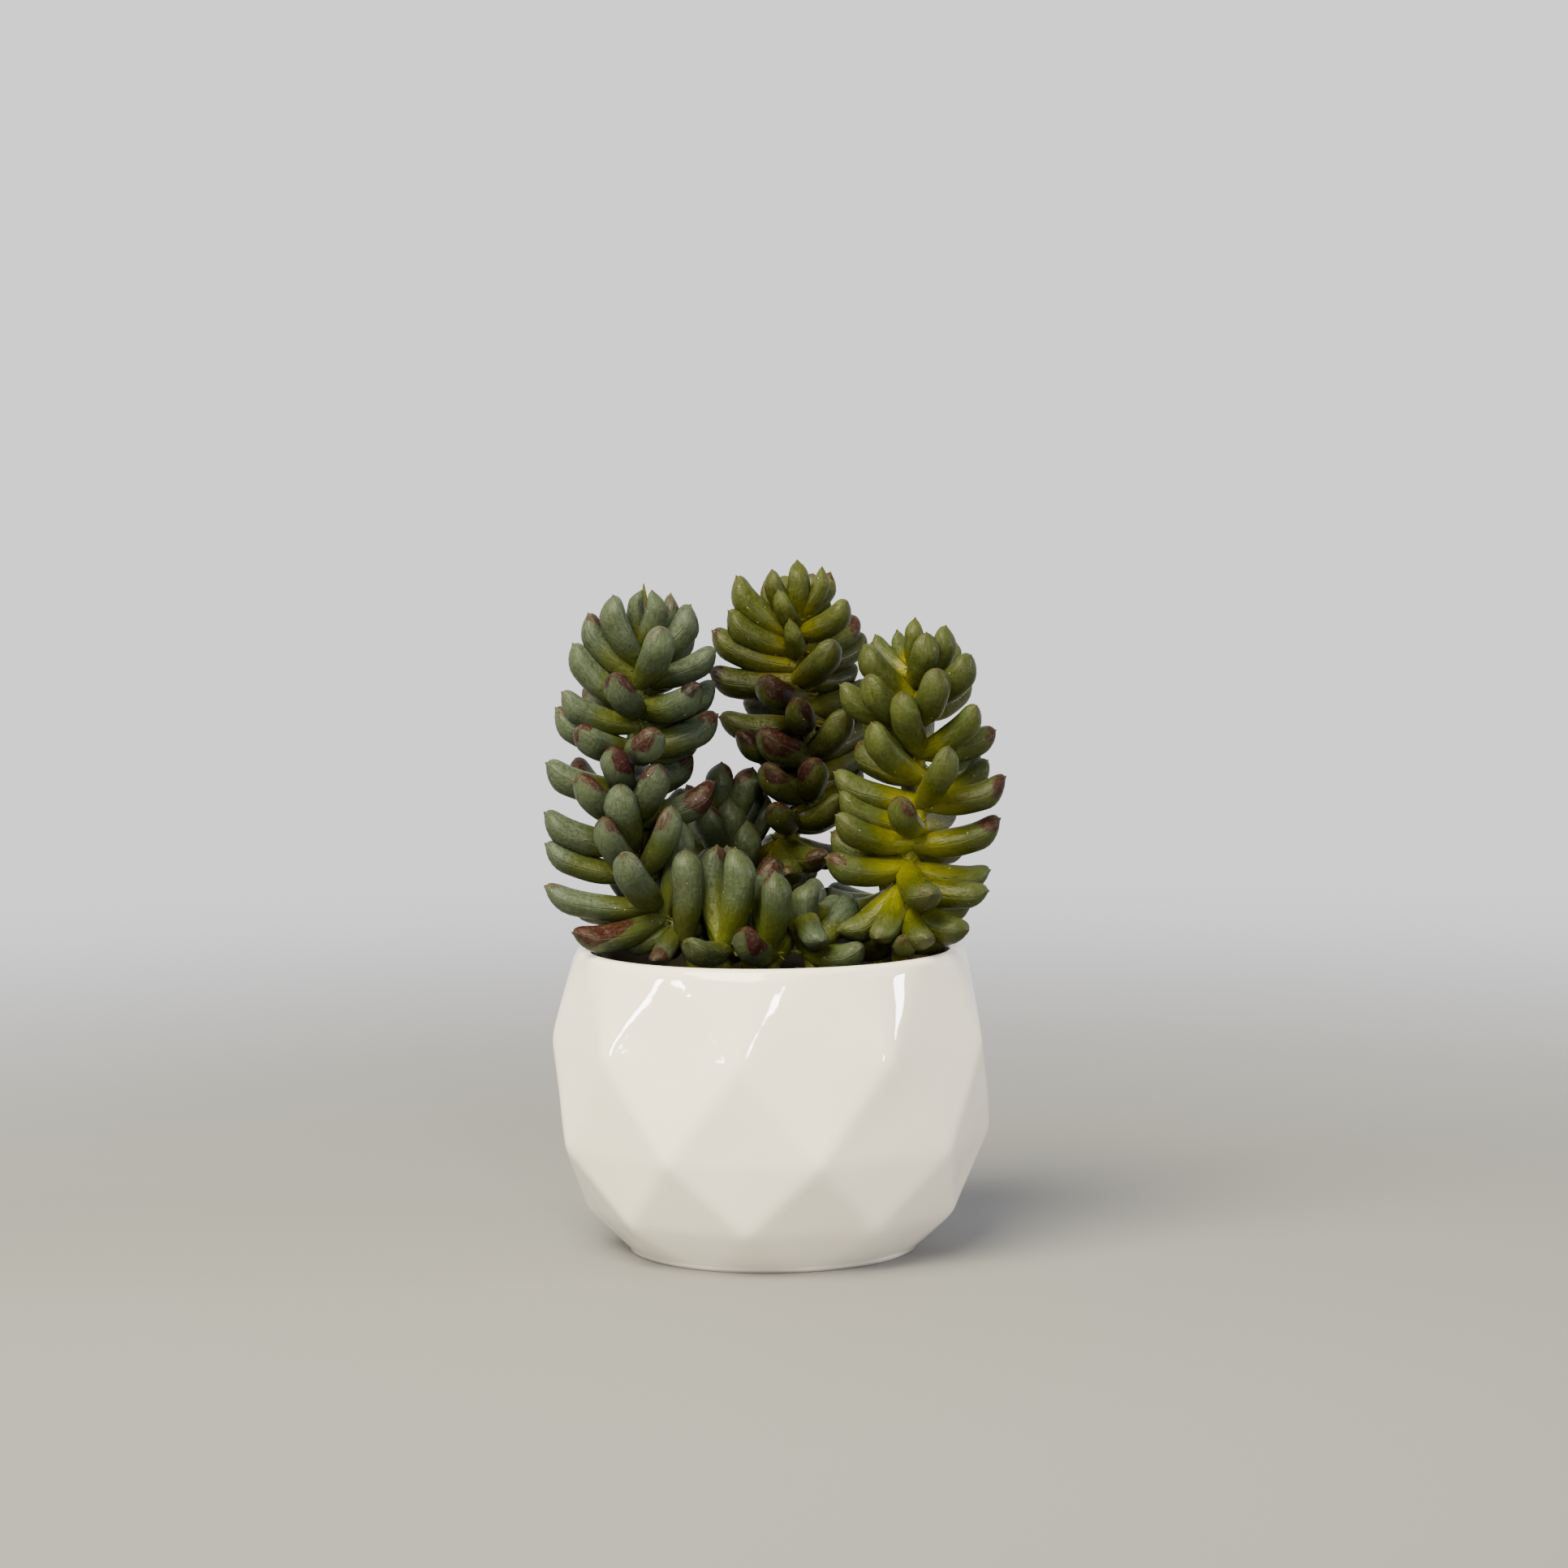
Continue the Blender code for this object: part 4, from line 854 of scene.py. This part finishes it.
def leaf_skin(name, root_tint, flesh, bloom, deep_bloom, blush):
    """Soft clear plastic, yellow at the root, under a waxy bloom with a red-brown blotch behind the tip.

    The bloom starts at a curved edge whose place is each leaf's own, and is thinner on the underside,
    partly as the wax lies and partly as painted shade. The blotch covers the tip, reaches farthest along
    one side, and frays into streaks, with pale flecks painted in as highlight specks. The mould seam is a
    hair-thin pale line, painted as a highlight, the nib is brown, and a few specks of dust are painted
    bright as glints. The upper side is painted lighter, and the tone darkens the middle stem's lower
    leaves as painted shade. Patterns are 0.5 on average.
    """
    paint = Paint(bpy.data.materials.new(name))
    place = paint.node("ShaderNodeTexCoord", output="Object")
    uv = paint.node("ShaderNodeTexCoord", output="UV")
    u, v = paint.along("X", uv), paint.along("Y", uv)
    seed, start, tone = paint.kept("seed"), paint.kept("bloom_start"), paint.kept("tone")
    redness, extent, frost = paint.kept("blush"), paint.kept("blotch_length"), paint.kept("frost")
    upper = u.maths("SINE", u * (2 * math.pi))
    lumps = paint.noise(place, LEAF_LUMPS, 3.0)
    fine = paint.noise(place, FINE_LUMPS, 3.0)
    streak_place = paint.node("ShaderNodeCombineXYZ", {}, {"X": u * STREAKS_ROUND, "Y": v * STREAKS_ALONG,
                                                           "Z": seed * SEED_STEP})
    streaks = paint.noise(streak_place, *STREAK_NOISE)
    scratch_place = paint.node("ShaderNodeCombineXYZ", {}, {"X": u * SCRATCHES_ROUND,
                                                            "Y": v * SCRATCHES_ALONG, "Z": seed * SEED_STEP})
    scratches = paint.noise(scratch_place, *SCRATCH_NOISE) + frost * FROST_SCRATCHES
    scratches = paint.step(scratches, *SCRATCH_LEVEL)

    colour = paint.mix(paint.step(v + (lumps - 0.5) * FLESH_STRAY, *FLESH_RUN), root_tint, flesh)
    front = start + (paint.noise(streak_place, *FRONT_NOISE) - 0.5) * FRONT_STRAY
    waxy = paint.step(v + (lumps - 0.5) * EDGE_STRAY - front, *BLOOM_EDGE)
    # Less bloom on the underside: partly the wax's own spread, and partly painted shade there.
    waxy = waxy * (BLOOM_SHARE + upper * UPPER_BLOOM_AND_SHADE)
    cloudy = weighed(BLOOM_MIX, streaks, fine, lumps) + (v - PALE_MIDDLE) * PALE_TIP
    wax = paint.mix(paint.step(cloudy, *BLOOM_LEVEL), deep_bloom, bloom)
    wax = paint.mix(scratches * FILM_SHARE, wax, DUST_FILM)
    colour = paint.mix(waxy * (WAX_SHARE - frost * FROST_BARE), colour, wax)
    colour = paint.mix(scratches * frost * FROST_SHARE, colour, FROST)

    facing = u.maths("SINE", (u + seed * SIDE_STRAY - SIDE_STRAY / 2) * (2 * math.pi))
    reach = extent * (BLOTCH_REACH + facing * BLOTCH_SIDE)
    near = paint.step(v + reach + (lumps - 0.5) * BLOTCH_FRAY, *BLOTCH_EDGE)
    near = near * (1 - paint.step(v, *NIB_FADE) * NIB_CLEAR)
    haze = paint.step(near * redness + (lumps - 0.5) * HAZE_FRAY, *HAZE_LEVEL)
    colour = paint.mix(haze * HAZE_SHARE, colour, BLUSH_HAZE)
    ragged = weighed(RAGGED_MIX, streaks - 0.5, fine - 0.5, lumps - 0.5)
    red = paint.step(near * redness * RED_GAIN + ragged, *BLUSH_LEVEL)
    mottled = RED_SHARE - paint.step(weighed(MOTTLE_MIX, lumps, fine), *MOTTLE_LEVEL) * MOTTLE_SHARE
    colour = paint.mix(red * paint.step(near, *RED_LEVEL) * mottled, colour, blush)
    burnt = paint.step(near * (redness - 1) * CHAR_GAIN, *CHAR_LEVEL)
    colour = paint.mix(burnt * CHAR_SHARE, colour, CHAR)
    # Painted highlight: pale flecks in the blotch.
    colour = paint.mix(red * near * paint.step(fine, *FLECK_LEVEL) * FLECK_SHARE, colour, BLUSH_HIGHLIGHT_FLECK)
    seam = (1 - paint.step(abs(upper), *SEAM_EDGE)) * paint.step(v, *SEAM_RUN)
    # Painted highlight: a pale hairline along the seam's lip.
    colour = paint.mix(seam * (streaks * SEAM_STREAKS - SEAM_BREAKS), colour, PAINTED_SEAM_HIGHLIGHT)
    colour = paint.mix(paint.step(v, *NIB_RUN) * NIB_SHARE, colour, NIB_BROWN)
    # Painted light: the upper side is made lighter, and the tone carries painted shade on the middle stem's
    # lower leaves.
    light = LIGHT + tone * TONE_LIGHT + fine * FINE_LIGHT + upper * PAINTED_UPPER_LIGHT
    shade = paint.node("ShaderNodeHueSaturation", {}, {"Value": light, "Color": colour})
    # Specks of dust, painted bright as glints.
    apart, lot = paint.cells(place, DUST_AND_GLINT_CELLS)
    speck = paint.step(lot, *DUST_AND_GLINT_CHANCE) * (1 - paint.step(apart, *DUST_AND_GLINT_REACH))
    shade = paint.mix(speck * SPECK_SHARE, shade, DUST_AND_GLINT)
    relief = weighed(RELIEF_MIX, streaks, fine, lumps)
    relief = relief + speck * SPECK_RELIEF + seam * SEAM_RELIEF - scratches * SCRATCH_RELIEF
    roughness = SKIN_ROUGHNESS + waxy * WAX_ROUGHNESS + (fine - 0.5) * FINE_ROUGHNESS
    paint.fill(paint.shader, {"Base Color": shade, "Roughness": roughness,
                              "Normal": paint.bump(relief, LEAF_RELIEF), **SKIN_GLOSS, **SKIN_DEPTH})
    return paint.owner


# Each skin's colours: root, flesh, bloom, the deep parts of the bloom, and blotch.
SKINS = {
    "leaf_blue_green": ((0.044, 0.052, 0.008, 1), (0.033, 0.042, 0.009, 1), (0.056, 0.073, 0.053, 1),
                        (0.029, 0.040, 0.023, 1), (0.022, 0.0035, 0.003, 1)),
    "leaf_olive": ((0.058, 0.056, 0.0012, 1), (0.031, 0.034, 0.0012, 1), (0.042, 0.052, 0.013, 1),
                   (0.020, 0.024, 0.0025, 1), (0.018, 0.003, 0.0025, 1)),
    "leaf_yellow_green": ((0.112, 0.110, 0.0020, 1), (0.037, 0.042, 0.0016, 1), (0.040, 0.052, 0.016, 1),
                          (0.023, 0.031, 0.004, 1), (0.023, 0.0035, 0.003, 1)),
    "leaf_grey_green": ((0.056, 0.065, 0.006, 1), (0.032, 0.041, 0.007, 1), (0.045, 0.062, 0.040, 1),
                        (0.020, 0.028, 0.014, 1), (0.023, 0.0035, 0.003, 1)),
}
# How red the leaves that show are, from 0 to 1 and past it for black, and the share of the leaf that the
# blotch covers. The keys are the tips' places, x and height, and a leaf may end MARK_REACH from its key.
MARK_REACH = 1.5
MARKS = {
    (-28.3, 118.7): (0.1, 0.1), (-18.5, 119.5): (0.1, 0.1), (-22.8, 120.5): (0.0, 0.1),
    (-12.7, 116.5): (0.5, 0.15), (-32.7, 115.3): (0.75, 0.35), (-18.7, 113): (0.5, 0.25),
    (-8.8, 108.8): (0.45, 0.12), (-35.3, 110): (0.3, 0.10), (-27, 104.5): (1.0, 0.45),
    (-11.7, 102.2): (0.9, 0.30), (-8.8, 101.5): (0.2, 0.1), (-37.2, 101): (0.4, 0.12),
    (-38.6, 98): (0.6, 0.16), (-33.6, 95.3): (0.95, 0.35), (-20, 94.5): (0.85, 0.30),
    (-8.5, 97): (0.8, 0.22), (-12.7, 92): (0.7, 0.3), (-27.5, 92): (1.0, 0.42), (-40.2, 88.3): (0.3, 0.1),
    (-33.3, 87): (0.95, 0.32), (-18.6, 88.9): (0.85, 0.3), (-13.8, 89.8): (0.8, 0.3), (-9, 84): (0.9, 0.35),
    (-26.7, 85.5): (0.2, 0.1), (-40.7, 79.3): (0.5, 0.15), (-30, 79.6): (0.85, 0.28),
    (-16.6, 81.5): (0.7, 0.35), (-40.5, 74): (0.5, 0.1), (-26.2, 73.6): (0.35, 0.15),
    (-40.6, 66.2): (0.7, 0.25), (-13.8, 79.2): (0.4, 0.2), (-14.1, 74.5): (0.85, 0.16),
    (-35, 58.3): (0.95, 0.6), (-27, 56): (0.2, 0.1), (-14.6, 58): (0.1, 0.1), (-5.3, 74.5): (0.75, 0.2),
    (1.2, 70.3): (0.85, 0.16), (-5, 60): (1.0, 0.5), (8.8, 57.3): (0.3, 0.1), (16.4, 56.5): (0.45, 0.12),
    (-10.9, 103.4): (1.6, 0.16), (-1, 102.5): (0.95, 0.5), (5.8, 98.8): (0.95, 0.5), (-9.2, 95.3): (0.6, 0.3),
    (-6.4, 91): (1.0, 0.5), (-2, 92.8): (1.0, 0.5), (-0.9, 86.8): (0.85, 0.3), (8.5, 88.2): (0.95, 0.45),
    (1, 80): (0.85, 0.3), (15.3, 96.3): (0.7, 0.22), (-8, 113.6): (0.3, 0.08), (-10.3, 111.5): (0.7, 0.1),
    (12.3, 109.2): (0.1, 0.1), (5.8, 124.2): (0.1, 0.1), (11.1, 122.7): (0.0, 0.1), (0.5, 122.3): (0.0, 0.1),
    (-6.5, 120.7): (0.3, 0.08), (2, 119): (0.0, 0.1), (15.2, 116.4): (0.0, 0.1), (4.3, 113): (0.1, 0.1),
    (14, 96.7): (0.5, 0.15), (16.7, 103.2): (0.3, 0.1), (13.4, 81): (0.2, 0.1),
    (-9, 87.5): (1.0, 0.5), (-4, 86.5): (0.8, 0.35), (-12, 80): (0.7, 0.3),
    (41.2, 93.5): (0.95, 0.16), (42.7, 84.7): (0.9, 0.14), (41.8, 77.4): (0.9, 0.28),
    (22.8, 82.3): (0.75, 0.3), (15.8, 90.9): (0.6, 0.15), (11.3, 86.3): (0.4, 0.1), (39.7, 67.7): (0.3, 0.08),
    (27, 55.5): (0.9, 0.3), (24.3, 57.5): (0.6, 0.2), (36.7, 107.3): (0.3, 0.06), (10.8, 75): (0.6, 0.3),
}
# How scratched and frosted a few of them are.
FROSTED = {(-14.6, 58): 1.0, (-27, 56): 0.7, (-35, 58.3): 0.5, (16.4, 56.5): 0.4, (-5, 60): 0.3}
# Each plant's label, skin, redness, share of the leaf that is blotched, then the share where the bloom
# starts and the tone, each at two heights of the leaf's root. Each leaf strays from them by chance. The
# middle stem's tone falls from its crown to its lower leaves, which is painted shade.
BLOOM_HEIGHTS, TONE_AND_SHADE_HEIGHTS = (72.0, 95.0), (102.0, 112.0)
BLOOM_STRAY, TONE_STRAY, REDNESS_STRAY, BLOTCH_STRAY = (-0.1, 0.12), (-0.35, 0.35), 0.18, (0.6, 1.5)
PIECES = {
    "stem_left": ("left", "leaf_blue_green", 0.75, 0.24, (0.55, 0.38), (0.5, 0.5)),
    # Painted shade: the middle stem's lower leaves are made darker by their tone.
    "stem_middle": ("middle", "leaf_olive", 0.60, 0.20, (0.45, 0.30), (-0.2, 1.0)),
    "stem_right": ("right", "leaf_yellow_green", 0.30, 0.14, (0.66, 0.34), (0.5, 0.4)),
    "shoot_front_left": ("front_left", "leaf_grey_green", 0.80, 0.18, (0.52, 0.52), (0.4, 0.4)),
    "shoot_front": ("front", "leaf_grey_green", 0.85, 0.18, (0.50, 0.50), (0.4, 0.4)),
    "shoot_front_right": ("front_right", "leaf_grey_green", 0.60, 0.15, (0.48, 0.48), (0.4, 0.4)),
    "stem_back_left": ("back_left", "leaf_grey_green", 0.65, 0.20, (0.42, 0.42), (0.3, 0.3)),
    "stem_back_right": ("back_right", "leaf_grey_green", 0.35, 0.15, (0.36, 0.36), (0.3, 0.3)),
}
# Stalks and torn bits: a bloom that would start past the tip, so there is none, and the share of a leaf's
# length that their maps cover, near its root.
NO_BLOOM = 2.0
STALK_TONE, TORN_TONE = 0.2, (0.1, 1.0)
STALK_SHARE, TORN_SHARE = 0.2, 0.05
LOOKS_SEED = 31


def bare_looks(tone):
    """What the skin reads on each part that has no bloom, blotch or frost."""
    none = np.zeros(len(tone))
    return {"seed": none, "bloom_start": none + NO_BLOOM, "tone": tone, "blush": none, "blotch_length": none,
            "frost": none}


skins = {name: leaf_skin(name, *tints) for name, tints in SKINS.items()}
plant, root, aim, out, length, width, free = place_leaves()
aim = bend_clear(plant, root, aim, out, length, width, free)
draw = np.random.default_rng(LOOKS_SEED)
tips, rings, t = leaf_surfaces(root, aim, out, length, width, draw)
for number, (node, (label, skin, redness, extent, starts, tones_and_shade)) in enumerate(PIECES.items()):
    mine = plant == number
    count = int(mine.sum())
    starts = np.interp(root[mine, 2], BLOOM_HEIGHTS, starts)
    tones_and_shade = np.interp(root[mine, 2], TONE_AND_SHADE_HEIGHTS, tones_and_shade)
    own = {"seed": draw.uniform(0, 1, count), "bloom_start": starts + draw.uniform(*BLOOM_STRAY, count),
           "tone": tones_and_shade + draw.uniform(*TONE_STRAY, count),
           "blush": np.clip(draw.normal(redness, REDNESS_STRAY, count), 0, 1),
           "blotch_length": extent * draw.uniform(*BLOTCH_STRAY, count), "frost": np.zeros(count)}
    ends = (root + aim * length[:, None])[mine][:, [0, 2]]
    for place, (red, share) in MARKS.items():
        apart = np.where(free[mine], np.inf, np.hypot(*(ends - place).T))
        nearest = apart.argmin()
        if apart[nearest] < MARK_REACH:
            own["blush"][nearest], own["blotch_length"][nearest] = red, share
            own["frost"][nearest] = FROSTED.get(place, 0)
    leaves = tubes("leaves_" + label, tips[mine], rings[mine], t, skins[skin], values=own)
    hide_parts(node)
    points, whorls = PLANTS[node]
    heights = [height for height, *_ in whorls]
    stalk_tips, stalk_rings, along = stalk_surface(points, heights, draw)
    stalk = tubes("stalk_" + label, stalk_tips, stalk_rings, STALK_SHARE * along, skins[skin],
                  values=bare_looks(np.array([STALK_TONE])))
    seat, end = joint_spikes(points, heights, draw)
    radius = draw.uniform(*TORN_RADIUS, len(seat))
    if node in SLIVERS:
        seat, end = np.concatenate([[seat, end], SLIVERS[node]], axis=1)
        radius = np.append(radius, np.full(len(seat) - len(radius), SLIVER_RADIUS))
    torn_tips, torn_rings, along = torn_bits(seat, end, radius, draw)
    torn = tubes("flash_" + label, torn_tips, torn_rings, TORN_SHARE * along, skins[skin],
                 values=bare_looks(draw.uniform(*TORN_TONE, len(seat))))


# Camera, floor and light
# A long lens a little above the pot looks slightly down on it. It stands on a pale floor under a soft
# dome of light, with a broad lamp at the upper left and small ones that make the streaks in the glaze.

# Lengths are in metres from here on. The focal length and the image's side are in the image's pixels.
FOCAL = 5002.0
IMAGE_SIDE = 1932.0
SENSOR = 36.0
EYE = (0.0, -0.7309, 0.1445)
PAN, TILT, ROLL = 0.22, 4.71, -0.6
# The floor turns into glowing wall from SWEEP_START to SWEEP_END. The wall and the dome are dimmest in
# front, and their light grows from DOME_START to DOME_END, as the share of the way that a point is back.
FLOOR_RADIUS, FLOOR_SIDES = 4.0, 96
FLOOR_GREY, FLOOR_GLOSS = (0.19, 0.19, 0.195, 1), {"Roughness": 0.8, "Specular IOR Level": 0.2}
SWEEP_START, SWEEP_END = 0.10, 0.65
WALL_LIGHT = (1.27, 1.26, 1.30, 1)
DOME_FRONT = 0.25
DOME_START, DOME_END = -0.1, 0.85
KEY_WARMTH, PLAIN_WHITE = (1.0, 0.925, 0.64), (1, 1, 1)
AIM = (0.0, 0.0, 0.05)
# Each lamp's bearing, rise, distance, width, height and brightness.
LAMPS = {
    "key": (-33, 50, 1.1, 0.80, 0.70, 29.0),
    "streak_left": (-64, 9, 0.9, 0.06, 0.10, 120.0),
    "streak_dash": (-55, 9, 0.9, 0.04, 0.03, 120.0),
    "streak_middle": (10, 17, 1.1, 0.12, 0.12, 120.0),
    "streak_right": (82, 15, 0.9, 0.16, 0.08, 90.0),
    "streak_low": (33, 5, 1.0, 0.04, 0.08, 90.0),
}


def dome_light(paint, back):
    """The glow where a point or a ray is this share of its way back: DOME_FRONT, growing smoothly to 1."""
    return DOME_FRONT + (1 - DOME_FRONT) * paint.step(back, DOME_START, DOME_END)


lens = bpy.data.cameras.new("camera")
lens.sensor_width = SENSOR
lens.lens = FOCAL / IMAGE_SIDE * SENSOR
camera = bpy.data.objects.new("camera", lens)
turn = Matrix.Rotation(math.radians(-PAN), 4, "Z") @ Matrix.Rotation(math.radians(90 - TILT), 4, "X")
camera.matrix_world = Matrix.Translation(EYE) @ turn @ Matrix.Rotation(math.radians(ROLL), 4, "Z")
bpy.context.scene.collection.objects.link(camera)
bpy.context.scene.camera = camera

around = np.linspace(0, 2 * math.pi, FLOOR_SIDES, endpoint=False)
edge = np.stack([np.cos(around), np.sin(around), 0 * around], axis=1) * FLOOR_RADIUS
floor_mesh = bpy.data.meshes.new("floor")
floor_mesh.from_pydata(edge.tolist(), [], [list(range(len(edge)))])
paper = Paint(bpy.data.materials.new("floor_paper"))
paper.fill(paper.shader, {"Base Color": FLOOR_GREY, **FLOOR_GLOSS})
place = paper.node("ShaderNodeTexCoord", output="Object")
away = paper.length(place)
depth = paper.along("Y", place)
strength = dome_light(paper, depth.maths("DIVIDE", depth, away))
glow = paper.node("ShaderNodeEmission", {}, {"Color": WALL_LIGHT, "Strength": strength})
matte = Flow(paper, paper.shader.outputs["BSDF"])
swept = paper.step(away, SWEEP_START, SWEEP_END)
surface = paper.node("ShaderNodeMixShader", {}, {0: swept, 1: matte, 2: glow})
paper.fill(paper.tree.nodes["Material Output"], {"Surface": surface})
floor_mesh.materials.append(paper.owner)
floor = bpy.data.objects.new("floor", floor_mesh)
bpy.context.scene.collection.objects.link(floor)

for name, (bearing, rise, distance, wide, high, glow) in LAMPS.items():
    lamp = bpy.data.lights.new(name, "AREA")
    lamp.shape = "RECTANGLE"
    lamp.size, lamp.size_y = wide, high
    lamp.energy = glow * math.pi * wide * high
    lamp.color = KEY_WARMTH if name == "key" else PLAIN_WHITE
    outward = Vector((math.sin(math.radians(bearing)) * math.cos(math.radians(rise)),
                      -math.cos(math.radians(bearing)) * math.cos(math.radians(rise)),
                      math.sin(math.radians(rise))))
    holder = bpy.data.objects.new(name, lamp)
    holder.location = Vector(AIM) + outward * distance
    holder.rotation_euler = outward.to_track_quat("Z", "Y").to_euler()
    bpy.context.scene.collection.objects.link(holder)

sky = Paint(bpy.data.worlds.new("dome"), "Background")
direction = sky.node("ShaderNodeTexCoord", output="Generated")
sky.fill(sky.shader, {"Color": WALL_LIGHT, "Strength": dome_light(sky, sky.along("Y", direction))})
bpy.context.scene.world = sky.owner
